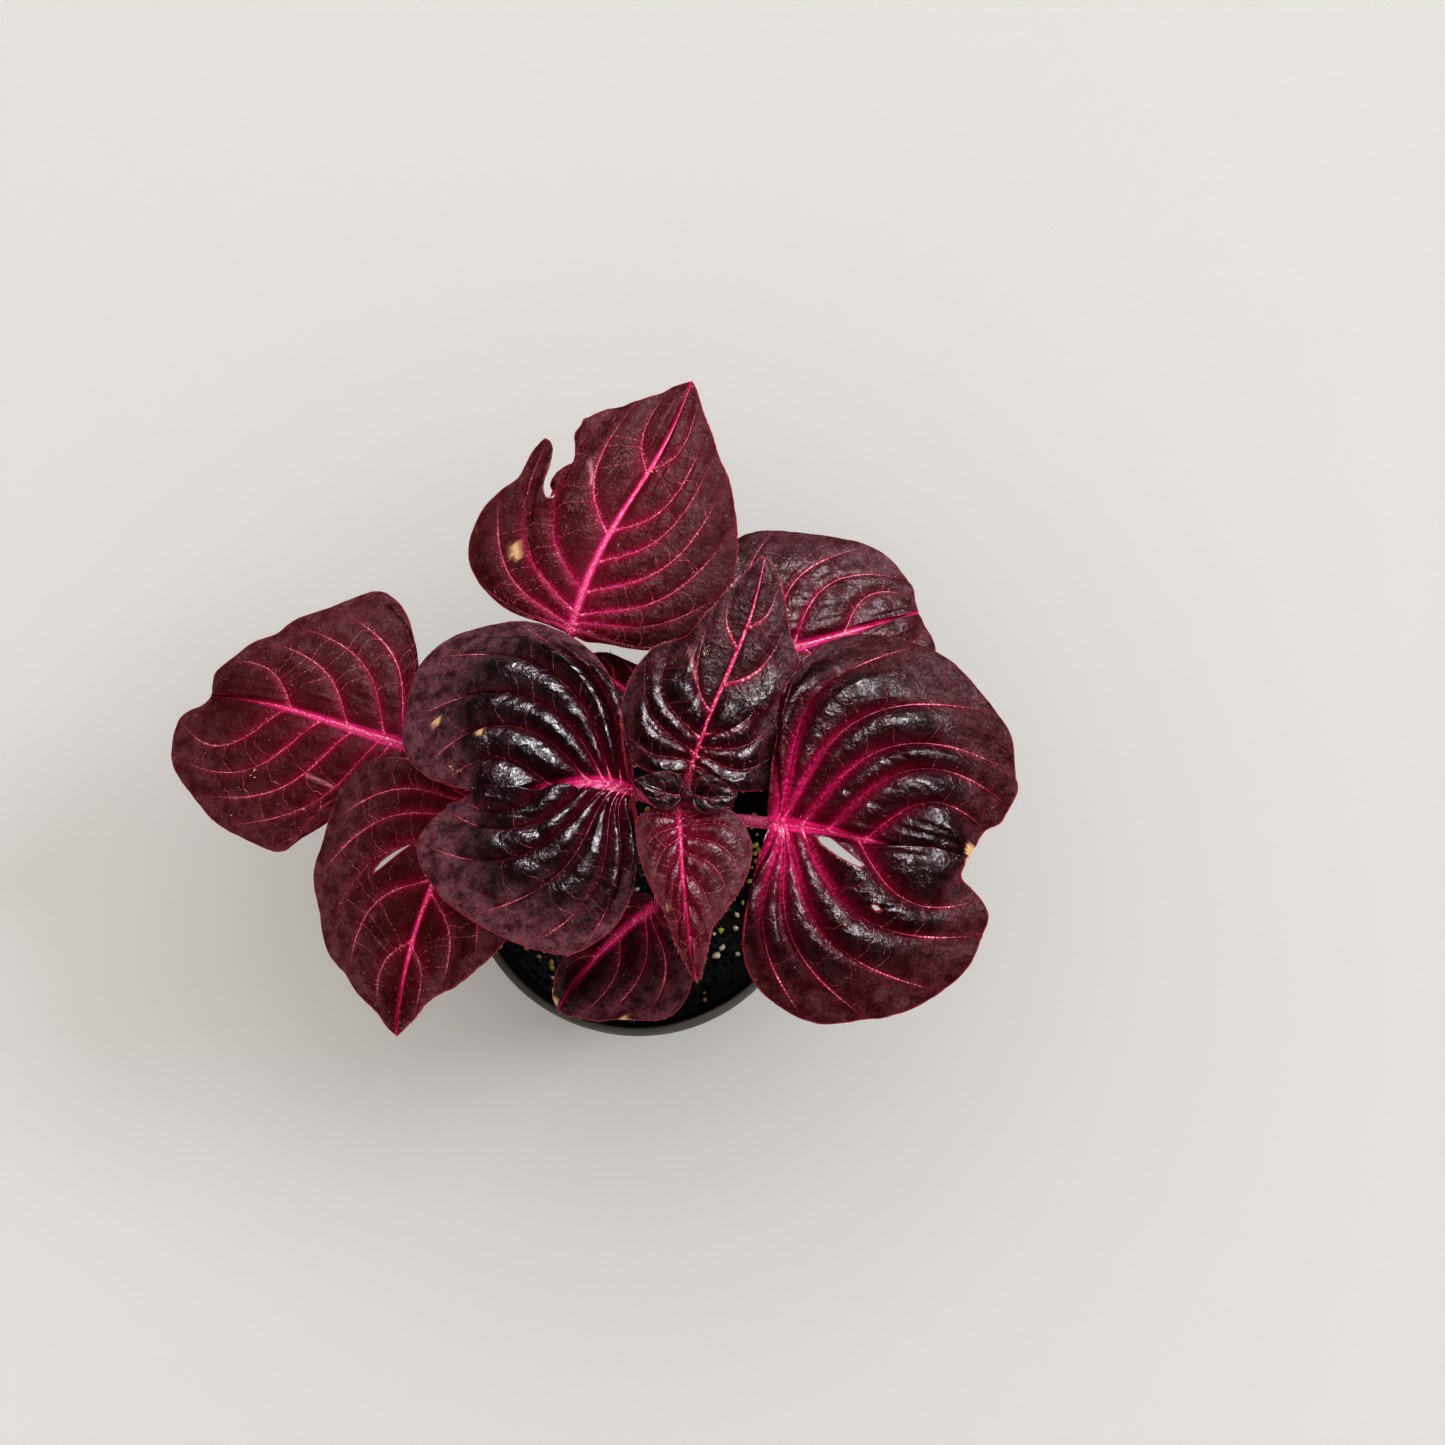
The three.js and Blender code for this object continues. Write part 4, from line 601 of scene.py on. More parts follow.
def polygon_distance(points, outline):
    """Signed distance to a closed outline, negative inside, and the nearest place on it. A point
    is inside when a ray from it crosses an odd number of sides."""
    starts, ends = outline, np.roll(outline, -1, axis=0)
    steps = ends - starts
    nearest, share, distance = nearest_piece(points, starts, steps)
    x, y = points[:, 0, None], points[:, 1, None]
    straddles = (starts[:, 1] > y) != (ends[:, 1] > y)
    rise = np.where(np.abs(steps[:, 1]) < 1e-12, 1e-12, steps[:, 1])
    crossing = starts[:, 0] + (y - starts[:, 1]) * steps[:, 0] / rise
    inside = (straddles & (x < crossing)).sum(1) % 2 == 1
    places = starts[nearest] + share[:, None] * steps[nearest]
    return distance * np.where(inside, -1, 1), places


# Meshes as arrays of points and triangles

def linked(name, data):
    """A new object in the scene."""
    item = bpy.data.objects.new(name, data)
    bpy.context.scene.collection.objects.link(item)
    return item


def mesh_object(name, points, faces, material=None):
    """A new mesh object from points in millimetres and faces."""
    mesh = bpy.data.meshes.new(name)
    mesh.from_pydata((np.asarray(points) * MM).tolist(), [], np.asarray(faces).tolist())
    if material is not None:
        mesh.materials.append(material)
    return linked(name, mesh)


class Shape:
    """Points, triangles and one value per point for each named attribute, gathered from parts."""

    def __init__(self):
        self.points = []
        self.triangles = []
        self.values = []
        self.count = 0

    def add(self, points, triangles, **values):
        """Adds a part. A value may be one number or one per point, and is 0 if left out."""
        points = np.asarray(points, float).reshape(-1, 3)
        self.points.append(points)
        self.triangles.append(np.asarray(triangles, int).reshape(-1, 3) + self.count)
        self.values.append({name: np.broadcast_to(value, len(points)).astype(float)
                            for name, value in values.items()})
        self.count += len(points)

    def piece(self, name, material, slot, nodes=()):
        """Makes the Blender object, with its attributes, smooth shading and material, hangs it on
        the root and hides the imported parts named in nodes.
        """
        piece = mesh_object(name, np.vstack(self.points), np.vstack(self.triangles), material)
        for key in sorted({key for part in self.values for key in part}):
            parts = [part.get(key, np.zeros(len(p))) for part, p in zip(self.values, self.points)]
            attribute = piece.data.attributes.new(key, "FLOAT", "POINT")
            attribute.data.foreach_set("value", np.concatenate(parts).astype(np.float32))
        piece.data.shade_smooth()
        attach(piece, "root")
        if nodes:
            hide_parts(*nodes)
        return piece


def split_cells(a, b, c, d):
    """Two triangles for each cell with the corners a, b, c and d. Those that shrink to a line,
    because two corners are one point, are left out."""
    a, b, c, d = (corner.ravel() for corner in (a, b, c, d))
    triangles = np.vstack([np.column_stack([a, b, c]), np.column_stack([a, c, d])])
    a, b, c = triangles.T
    return triangles[(a != b) & (b != c) & (c != a)]


def grid_triangles(rows, columns, flip=False, poles=()):
    """Triangles of a grid of points. A row named in poles is a single point."""
    index = np.arange(rows * columns).reshape(rows, columns)
    for row in poles:
        index[row] = index[row, 0]
    triangles = split_cells(index[:-1, :-1], index[1:, :-1], index[1:, 1:], index[:-1, 1:])
    return triangles[:, ::-1] if flip else triangles


def ring_triangles(rings, sides):
    """Triangles of a stack of rings, closed at either end by a fan. The middles of the fans, the
    first ring's and then the last one's, are numbered after all the rings."""
    a = np.arange(sides)
    b = (a + 1) % sides
    low = (np.arange(rings - 1) * sides)[:, None]
    high = low + sides
    foot, head, last = rings * sides, rings * sides + 1, (rings - 1) * sides
    return np.vstack([split_cells(a + low, b + low, b + high, a + high),
                      np.column_stack([np.full(sides, foot), b, a]),
                      np.column_stack([np.full(sides, head), last + a, last + b])])


def around(radius, turn, height):
    """Points at a radius and a turn about the Z axis, at a height."""
    return np.stack(np.broadcast_arrays(radius * np.cos(turn), radius * np.sin(turn), height),
                    axis=-1)


def full_turn(sides):
    """Evenly spaced angles, once round."""
    return np.linspace(0, 2 * np.pi, sides, endpoint=False)


def copied(faces, count, size):
    """The faces of one body of size points, numbered on for each of count such bodies."""
    offsets = (np.arange(count) * size)[:, None, None]
    return (np.asarray(faces) + offsets).reshape(-1, 3)


def tubes(points, radii, sides, up):
    """Closed round tubes, many at once. points is (tubes, stations, 3). At each station a circle
    of the given radius stands square to the path, turned so that its first spoke leans towards
    up, and each end is closed by a fan."""
    count, stations = points.shape[:2]
    ahead = unit(np.gradient(points, axis=1))
    up = np.broadcast_to(up, points.shape)
    spoke = unit(up - (up * ahead).sum(-1, keepdims=True) * ahead)
    other = np.cross(ahead, spoke)
    turn = full_turn(sides)[:, None]
    ring = spoke[:, :, None] * np.cos(turn) + other[:, :, None] * np.sin(turn)
    rings = points[:, :, None] + ring * np.asarray(radii)[:, :, None, None]
    block = np.concatenate([rings.reshape(count, -1, 3), points[:, :1], points[:, -1:]], axis=1)
    return block.reshape(-1, 3), copied(ring_triangles(stations, sides), count, block.shape[1])


def tube_values(values, sides):
    """Values for each station of many tubes, given to all of the tubes' points in order."""
    return np.concatenate([np.repeat(values, sides, axis=1), values[:, :1], values[:, -1:]], 1)


def lathe(profile, sides):
    """A profile of (radius, height) from the axis and back to it, carried round the axis."""
    profile = np.asarray(profile, float)
    rings = around(profile[1:-1, :1], full_turn(sides), profile[1:-1, 1:])
    poles = [(0, 0, profile[0, 1]), (0, 0, profile[-1, 1])]
    return np.vstack([rings.reshape(-1, 3), poles]), ring_triangles(len(rings), sides)


def keep_used(points, triangles, *values):
    """Drops the points that no triangle uses, and the same places of the values."""
    used, numbers = np.unique(triangles, return_inverse=True)
    kept = [value[used] for value in values]
    return (points[used], numbers.reshape(-1, 3), *kept)


def rounded(profile, radius, steps=5):
    """Rounds the corners of a profile: each gives way to a parabola between points up to radius
    before and after it, and never past half of a side."""
    profile = np.asarray(profile, float)
    before, corner, after = profile[:-2], profile[1:-1], profile[2:]
    reach = [np.minimum(0.5, radius / np.linalg.norm(side - corner, axis=1, keepdims=True))
             for side in (before, after)]
    first = corner + (before - corner) * reach[0]
    last = corner + (after - corner) * reach[1]
    u = np.linspace(0, 1, steps)[:, None, None]
    arcs = (1 - u) ** 2 * first + 2 * u * (1 - u) * corner + u * u * last
    return np.vstack([profile[:1], arcs.transpose(1, 0, 2).reshape(-1, 2), profile[-1:]])


def lumps(centres, radii, seed, roughness):
    """Small stones: an octahedron with every edge halved, 18 points and 32 faces, pushed out to a
    ball, with each point moved in or out at random, stretched by its three radii and turned."""
    rng = np.random.default_rng(seed)
    axes = np.repeat(np.eye(3), 2, axis=0) * np.tile([1, -1], 3)[:, None]
    faces = [(0, 2, 4), (2, 1, 4), (1, 3, 4), (3, 0, 4), (2, 0, 5), (1, 2, 5), (3, 1, 5), (0, 3, 5)]
    middles = {}
    points = list(axes)
    split = []
    for a, b, c in faces:
        ids = []
        for u, v in ((a, b), (b, c), (c, a)):
            key = (min(u, v), max(u, v))
            if key not in middles:
                middles[key] = len(points)
                points.append((axes[u] + axes[v]) / math.sqrt(2))
            ids.append(middles[key])
        ab, bc, ca = ids
        split += [(a, ab, ca), (ab, b, bc), (ca, bc, c), (ab, bc, ca)]
    ball = np.array(points)
    count = len(centres)
    shapes = ball * (1 + roughness * rng.uniform(-1, 1, (count, len(ball), 1)))
    shapes = shapes * np.asarray(radii)[:, None]
    turns = unit(rng.normal(size=(count, 4)))
    w, x, y, z = turns.T
    spin = np.stack([
        1 - 2 * (y * y + z * z), 2 * (x * y - z * w), 2 * (x * z + y * w),
        2 * (x * y + z * w), 1 - 2 * (x * x + z * z), 2 * (y * z - x * w),
        2 * (x * z - y * w), 2 * (y * z + x * w), 1 - 2 * (x * x + y * y)], axis=-1)
    shapes = np.einsum("nij,nkj->nki", spin.reshape(-1, 3, 3), shapes)
    points = shapes + np.asarray(centres)[:, None]
    return points.reshape(-1, 3), copied(split, count, len(ball))


# Leaf geometry

def turned(points, angle, axis):
    """Points turned about X (axis 0) or Z (axis 2) by an angle in degrees."""
    c, s = math.cos(math.radians(angle)), math.sin(math.radians(angle))
    if axis == 0:
        matrix = np.array([[1, 0, 0], [0, c, -s], [0, s, c]])
    else:
        matrix = np.array([[c, -s, 0], [s, c, 0], [0, 0, 1]])
    return points @ matrix.T


def blade_surface(leaf, flat, side=None):
    """A flat place on the bent blade. The midrib line bends down on an arc of constant curvature,
    and each half first rises by its fold angle and then curls down on an arc of its own."""
    s, t = flat[..., 0], flat[..., 1]
    if side is None:
        side = np.where(t < -0.02, -1, 1)
    first = side > 0
    bend = math.radians(leaf["arch"]) / leaf["length"]
    pitch0 = math.radians(leaf["rise"])
    pitch = pitch0 - bend * s
    curl = np.radians(np.where(first, *leaf["curl"])) / leaf["span"]
    fold = np.radians(np.where(first, *leaf["fold"]))
    angle = fold - curl * np.abs(t)
    across = side * (np.sin(fold) - np.sin(angle)) / curl
    up = (np.cos(angle) - np.cos(fold)) / curl
    x = (np.sin(pitch0) - np.sin(pitch)) / bend - np.sin(pitch) * up
    z = (np.cos(pitch) - np.cos(pitch0)) / bend + np.cos(pitch) * up
    points = np.stack([x, across, z], axis=-1)
    return turned(turned(points, leaf["roll"], 0), leaf["heading"], 2) + leaf["base"]


def blade_normal(leaf, flat):
    """The upward normal: the cross product of small steps along s and t. On the midrib line it is
    the mean of both halves' normals."""
    def half_normal(side):
        along = np.array([0.05, 0])
        across = np.stack([np.zeros(flat.shape[:-1]), side * np.full(flat.shape[:-1], 0.05)], -1)
        here = blade_surface(leaf, flat, side)
        ds = blade_surface(leaf, flat + along, side) - blade_surface(leaf, flat - along, side)
        dt = blade_surface(leaf, flat + across, side) - here
        return unit(np.cross(ds, dt) * np.asarray(side)[..., None])

    t = flat[..., 1]
    own = half_normal(np.where(t < 0, -1, 1))
    both = unit(half_normal(np.ones(t.shape)) + half_normal(-np.ones(t.shape)))
    return np.where(np.abs(t)[..., None] > 0.02, own, both)


def midrib(leaf, share):
    """The midrib in flat coordinates: straight, plus one half wave and one whole wave sideways."""
    sway = leaf["bow"][0] * np.sin(np.pi * share) + leaf["bow"][1] * np.sin(2 * np.pi * share)
    return np.stack([leaf["length"] * share, sway], axis=-1)


class HalfBlade:
    """One half of a blade. A row counts the side veins from the base, and a column goes from the
    midrib, 0, to the margin, 1."""

    def __init__(self, leaf, side, seed):
        self.leaf = leaf
        self.sign = 1 if side == "left" else -1
        self.seed = seed
        corners = [(0, 0), *[(s, self.sign * t) for s, t in leaf[side]], (leaf["length"], 0)]
        line = smooth_line(corners, MARGIN_STEPS)
        run = run_along(line)
        ripple = sum(share * soft_noise(run / size, np.full(len(run), lane), seed)
                     for size, lane, share in MARGIN_WAVES)
        ripple = ripple * MARGIN_RIPPLE * np.minimum(
            1, np.minimum(run, run[-1] - run) / MARGIN_CALM)
        out = unit(np.gradient(line, axis=0))[:, ::-1] * (-1, 1)
        self.line = line + out * ripple[:, None]
        run = run_along(self.line)
        self.run = run / run[-1]
        self.veins = np.array([(0, 0), *leaf[side + "_veins"], (1, 1)], float)
        self.bands = len(self.veins) - 1

    def margin(self, share):
        """The place on the margin at a share of its length."""
        share = np.clip(share, 0, 1)
        return np.stack([np.interp(share, self.run, self.line[:, i]) for i in (0, 1)], axis=-1)

    def start(self, row):
        """The share of the midrib at which a row leaves it."""
        return np.interp(row, np.arange(len(self.veins)), self.veins[:, 0])

    def flat(self, row, column):
        """Each row is a cubic curve from the midrib to the margin. It leaves the midrib forwards,
        at an angle that falls from base to tip but no more than the lobe lag short of straight
        out to its end, and turns to run along the margin."""
        row, column = np.broadcast_arrays(np.asarray(row, float), np.asarray(column, float))
        start = self.start(row)
        end = np.interp(row, np.arange(len(self.veins)), self.veins[:, 1])
        p0, p3 = midrib(self.leaf, start), self.margin(end)
        chord = p3 - p0
        reach = np.linalg.norm(chord, axis=-1)
        near = np.clip(start, 0.001, 0.999)
        along = unit(midrib(self.leaf, near + 1e-4) - midrib(self.leaf, near - 1e-4))
        out = np.stack([-along[..., 1], along[..., 0]], axis=-1) * self.sign
        swing = np.arctan2((chord * out).sum(-1), (chord * along).sum(-1))
        angle = np.maximum(np.radians(VEIN_ANGLE_BASE + (VEIN_ANGLE_TIP - VEIN_ANGLE_BASE) * start),
                           swing - math.radians(VEIN_LOBE_LAG))
        leave = along * np.cos(angle)[..., None] + out * np.sin(angle)[..., None]
        edge = unit(self.margin(end + 0.01) - self.margin(end - 0.01))
        arrive = unit(unit(chord) * (1 - VEIN_ALONG_MARGIN) + edge * VEIN_ALONG_MARGIN)
        p1 = p0 + leave * (VEIN_START * reach)[..., None]
        p2 = p3 - arrive * (VEIN_END * reach)[..., None]
        return bezier((p0, p1, p2, p3), column[..., None])

    def split(self, row):
        """The band that a row lies in, and how far across it."""
        band = np.minimum(np.floor(row).astype(int), self.bands - 1)
        return band, row - band

    def width(self, row, column):
        """Distance between the two veins on either side, at one column."""
        band, _ = self.split(row)
        return np.linalg.norm(self.flat(band, column) - self.flat(band + 1, column), axis=-1)

    def puff(self, row, column):
        """0 on a vein and 1 on the crest between two: a flattened half sine across the band,
        which starts a little way out from the midrib and dies away towards the margin, or all
        at once where the leaf has a flat collar."""
        _, f = self.split(row)
        crest = np.maximum(0, np.sin(np.pi * f)) ** 0.52
        crest = crest * (1 - self.leaf["calm_tip"] * smooth_step(self.start(row), 0.08, 0.4))
        collar = self.leaf["collar"]
        if collar is None:
            fall = 1 - column ** 3
        else:
            fall = 1 - smooth_step(column, collar - 0.16, collar + 0.12)
        return crest * np.minimum(1, column / 0.13) * fall

    def relief(self, row, column):
        """Height over the bent sheet: the puffed bands, crossed by quilting and wrinkles that
        grow with them, and a wave that grows towards the margin."""
        leaf = self.leaf
        puff = self.puff(row, column)
        width = self.width(row, column)
        swell = leaf["puff"] * puff * width / (width + PUFF_WIDTH)
        size, count, phase = leaf["wave"]
        wave = size * column ** 3 * np.sin(2 * np.pi * count * row / len(self.veins) + phase)
        wave = wave * np.sin(np.pi * row / self.bands)
        flat = self.flat(row, column)
        reach = np.linalg.norm(flat - midrib(leaf, self.start(row)), axis=-1)
        quilt = patch_noise(flat, QUILT_SIZE, 20, self.seed)
        fine = patch_noise(flat, FINE_SIZE, 9, self.seed + 1)
        wrinkle = soft_noise(reach / WRINKLE_SIZE + 5, row * 1.6 + 5, self.seed + 2)
        grown = min(2, leaf["puff"]) * puff
        spread = np.minimum(1, column / 0.2) * (1 - column ** 6)
        quilting = ((QUILT_PER_PUFF * grown + QUILT_HEIGHT) * quilt + FINE_HEIGHT * fine
                    + WRINKLE_HEIGHT * grown * wrinkle) * spread
        return swell + wave + quilting * min(1, leaf["length"] / 30)

    def place(self, row, column):
        """Middle of the blade at a row and column, and the normal there."""
        flat = self.flat(row, column)
        normal = blade_normal(self.leaf, flat)
        lift = self.relief(row, column)
        return blade_surface(self.leaf, flat) + normal * lift[..., None], normal

    def in_cuts(self, rows, columns):
        """True for each path that crosses a hole of the blade."""
        flat = self.flat(rows, columns)
        hit = np.zeros(len(flat), bool)
        for outline in self.leaf["cuts"]:
            distance, _ = polygon_distance(flat.reshape(-1, 2), np.asarray(outline, float))
            hit |= (distance.reshape(flat.shape[:2]) < 0.15).any(1)
        return hit


def halves(leaf, seed):
    """Both halves of a leaf's blade, each with a seed of its own."""
    return [HalfBlade(leaf, side, seed * 10 + number)
            for number, side in enumerate(("left", "right"))]


def triangle_edges(triangles):
    """The three directed edges of every triangle."""
    return np.vstack([triangles[:, [0, 1]], triangles[:, [1, 2]], triangles[:, [2, 0]]])


def cut_outline(flat, triangles, outline):
    """Opens a hole: of every edge that crosses the outline, the end closer to it is moved onto
    it, and then the triangles inside are dropped."""
    ring = smooth_line(np.vstack([outline[-2:], outline, outline[:2]]), HOLE_STEPS)
    ring = ring[2 * HOLE_STEPS:-2 * HOLE_STEPS]
    distance, nearest = polygon_distance(flat, ring)
    edges = triangle_edges(triangles)
    crossing = edges[distance[edges[:, 0]] * distance[edges[:, 1]] < 0]
    closer = np.where(np.abs(distance[crossing[:, 0]]) < np.abs(distance[crossing[:, 1]]),
                      crossing[:, 0], crossing[:, 1])
    flat, distance = flat.copy(), distance.copy()
    flat[closer] = nearest[closer]
    distance[closer] = 0
    centre, _ = polygon_distance(flat[triangles].mean(1), ring)
    dropped = (distance[triangles] <= 0).all(1) & (centre < 0)
    return flat, triangles[~dropped], np.abs(distance)


def open_edges(triangles, count):
    """Directed edges that no other triangle runs back along."""
    edges = triangle_edges(triangles).astype(np.int64)
    forward = edges[:, 0] * count + edges[:, 1]
    backward = edges[:, 1] * count + edges[:, 0]
    return edges[~np.isin(forward, backward)]


def half_grid(half):
    """Rows and columns of half a blade's points, with rows set closer beside the veins, and the
    triangles between them."""
    bands = np.arange(half.bands)
    widths = half.width(bands + 0.5, np.full(half.bands, 0.55))
    counts = np.clip(np.ceil(widths / ROW_SPACING), *ROWS_IN_BAND).astype(int)
    rows = np.concatenate([band + (1 - np.cos(np.pi * np.arange(n) / n)) / 2
                           for band, n in zip(bands, counts)] + [[half.bands]])
    reach = np.abs(half.line[:, 1]).max() * 1.15
    steps = int(np.clip(reach / COLUMN_SPACING, *COLUMNS_IN_HALF))
    columns = np.concatenate([np.linspace(0, LAST_EVEN_COLUMN, steps), MARGIN_COLUMNS])
    row, column = (v.ravel() for v in np.meshgrid(rows, columns, indexing="ij"))
    return row, column, grid_triangles(len(rows), len(columns), half.sign < 0, poles=(0, -1))


def blade_values(half, flat, row, column, edge):
    """What the leaf's material asks for at each point. The glow beside a side vein is the sum of
    a narrow bell and a broad faint one, and fades along the vein and towards the tip. The core is
    a steep bell over the midrib with a soft flush round its base. Bands darken towards the tip."""
    leaf, look = half.leaf, half.leaf["look"]
    veins = half.flat(np.arange(1, half.bands)[:, None], np.linspace(0, 1, VEIN_STATIONS)[None])
    beside, which, along = line_distance(flat, veins)
    fade = (1 - smooth_step(along, 0.25, 1.0) * 0.85) * (1 - 0.45 * half.veins[1:-1, 0][which])
    reach = (0.55 + 0.55 * (1 - along)) * look["halo"]
    glow = look["veins"] * min(1, look["halo"]) * fade * (
        0.70 * bell(beside, reach) + 0.30 * bell(beside, 2.7 * reach))

    centre, _, share = line_distance(flat, midrib(leaf, np.linspace(0, 1, 40))[None])
    near, far, wide = look["midrib"]
    core = (near + (far - near) * share) * (
        1.15 * bell(centre, wide * (0.6 + 1.2 * (1 - share)), 4)
        + look["flush"] * 0.6 * (1 - share) ** 1.2 * bell(centre, 2.2 + 2.8 * (1 - share)))

    dry = np.zeros(len(flat))
    for s, t, size in leaf["marks"]:
        distance = np.linalg.norm(flat - (s, t), axis=1)
        ragged = distance + 0.35 * soft_noise(*(flat.T * 1.3 + 9), 5)
        dry = np.maximum(dry, 1 - smooth_step(ragged, size * 0.6, size))
    for outline in leaf["patches"]:
        distance, _ = polygon_distance(flat, np.asarray(outline, float))
        dry = np.maximum(dry, smooth_step(-distance, -0.15, 0.25))
    scar = np.zeros(len(flat))
    for corners in leaf["scars"]:
        distance, _, _ = line_distance(flat, smooth_line(corners, 8)[None])
        scar = np.maximum(scar, 0.55 * bell(distance, 0.3))

    puff = half.puff(row, column)
    low, high = look["bands"]
    dark = low + (high - low) * smooth_step(share, 0.3, 0.85)
    outer = smooth_step(column, 0.45, 1.0)
    return dict(glow=glow, core=core, edge=np.minimum(edge, 12), dry=dry, scar=scar,
                redness=look["red"] * (1 - 0.5 * (1 - look["bloom"]) * outer),
                # Bloom share: partly the margin's own purple-grey tone, partly painted sheen
                bloom=look["bloom"] * (1 - 0.8 * puff) * smooth_step(column, 0.1, 0.9),
                gloss=look["gloss"] * (0.12 + (0.2 + 0.68 * dark) * np.minimum(1, 1.5 * puff)),
                band=dark * np.minimum(1, 2.2 * puff), s=flat[:, 0], t=flat[:, 1])


def add_half(shape, half, thickness):
    """Adds half a blade as a closed sheet: the same triangles above and below, closer together
    at the rim, and joined round the margin and the holes."""
    leaf = half.leaf
    row, column, triangles = half_grid(half)
    flat = half.flat(row, column)
    lift = half.relief(row, column)
    hole = np.full(len(row), FAR)
    for outline in leaf["cuts"]:
        outline = np.asarray(outline, float)
        if np.sign(outline[:, 1].mean()) == half.sign:
            flat, triangles, distance = cut_outline(flat, triangles, outline)
            hole = np.minimum(hole, distance)
    flat, triangles, row, column, lift, hole = keep_used(flat, triangles, row, column, lift, hole)
    edge = np.minimum(line_distance(flat, half.line[None])[0], hole)
    values = blade_values(half, flat, row, column, edge)
    normal = blade_normal(leaf, flat)
    middle = blade_surface(leaf, flat) + normal * lift[:, None]
    rim = np.clip(edge / RIM_WIDTH, 0, 1)
    offset = normal * (thickness / 2 * (0.3 + 0.7 * np.sqrt(1 - (1 - rim) ** 2)))[:, None]
    top = shape.count
    shape.add(middle + offset, triangles, **values)
    low = shape.count
    shape.add(middle - offset, triangles[:, ::-1], under=1, **values)
    u, v = open_edges(triangles, low - top).T
    shape.triangles.append(split_cells(v + top, u + top, u + low, v + low))


def add_cords(shape, half, rows, columns, radii, above, tone, sides, thickness):
    """Adds tubes that run along the blade, sunk so that their tops stand above its upper face by
    the given height, except those that would cross a hole."""
    keep = ~half.in_cuts(rows, columns)
    if not keep.any():
        return
    lift = thickness / 2 + above - radii
    rows, columns, radii, lift, tone = (v[keep] for v in (rows, columns, radii, lift, tone))
    place, normal = half.place(rows, columns)
    points, triangles = tubes(place + normal * lift[..., None], radii, sides, normal)
    look = half.leaf["look"]
    bloom = (0.2 + 0.8 * look["bloom"]) * smooth_step(columns, 0.0, 0.7)
    s, t = np.moveaxis(half.flat(rows, columns), -1, 0)
    cord, bloom, s, t = (tube_values(value, sides).ravel() for value in (tone, bloom, s, t))
    shape.add(points, triangles, cord=cord, edge=5, redness=look["red"], bloom=bloom,
              gloss=look["gloss"] * 0.5, s=s, t=t)


def add_veins(shape, half, settings, rng):
    """Adds the side veins as tapering cords in the furrows, and smaller cross veins that loop
    from one side vein to the next and wander across each band."""
    leaf, look = half.leaf, half.leaf["look"]
    size = min(1, leaf["length"] / 32)
    thickness = settings.thickness / MM
    numbers = np.arange(1.0, half.bands)[:, None]
    rows, columns = np.broadcast_arrays(numbers, np.linspace(0.0, 0.97, VEIN_STATIONS))
    start = half.veins[1:-1, 0][:, None]
    radii = settings.vein_radius / MM * size * (0.6 + 0.45 * look["veins"]) * (1 - 0.35 * start) * (
        0.18 + 0.82 * (1 - columns ** 1.5))
    ends = 1 - smooth_step(columns, 0.5, 1.0)
    tone = look["veins"] * look["crisp"] * (0.08 + 0.92 * ends) * (1 - 0.4 * start)
    above = np.minimum(0.12 + 0.06 * leaf["puff"], 1.3 * radii)
    add_cords(shape, half, rows, columns, radii, above, tone, VEIN_SIDES, thickness)

    if leaf["length"] < VEINLETS_FROM_LENGTH:
        return
    bands, starts, meets = cross_veins(half, rng)
    u = np.linspace(0, 1, VEINLET_STATIONS)
    jitter = rng.normal(0, 0.004, (len(bands), len(u))) * np.sin(np.pi * u)
    rows = bands[:, None] + u
    bow = rng.uniform(0.0, 0.05, (len(bands), 1))
    columns = starts[:, None] + (meets - starts)[:, None] * u + bow * np.sin(np.pi * u) + jitter
    columns = np.clip(columns, 0.02, 0.97)
    radii = settings.veinlet_radius / MM * size * (0.75 + 0.5 * rng.uniform(size=(len(bands), 1)))
    radii = radii * (0.7 + 0.6 * np.abs(u - 0.5))
    dark = 0.5 * sum(look["bands"])
    tone = look["veins"] * (1 - 0.72 * dark) * (0.26 + 0.3 * np.abs(u - 0.5)) + np.zeros_like(rows)
    add_cords(shape, half, rows, columns, radii, VEINLET_ABOVE, tone, VEINLET_SIDES, thickness)


def cross_veins(half, rng):
    """The bands of the cross veins, and the columns where each leaves one side vein and meets the
    next one: at the nearest place, so that it crosses squarely. The outermost of each band closes
    the loop near the margin."""
    samples = np.linspace(0.1, 0.95, 70)
    found = []
    for band in range(1, half.bands - 1):
        width = float(half.width(np.array([band + 0.5]), np.array([0.75]))[0])
        count = int(np.clip(width * 0.4, 1, 4))
        outermost = rng.uniform(0.8, 0.86)
        spaced = 0.35 + 0.42 * (np.arange(count) + rng.uniform(0.1, 0.9, count)) / count
        places = np.array([outermost, *spaced])
        here, there = half.flat(band, places), half.flat(band + 1, samples)
        gaps = np.linalg.norm(here[:, None] - there[None], axis=-1)
        nearest = samples[gaps.argmin(1)]
        real = (nearest > 0.12) & (nearest < 0.94)
        found.append((np.full(real.sum(), float(band)), places[real], nearest[real]))
    return (np.concatenate(values) for values in zip(*found))


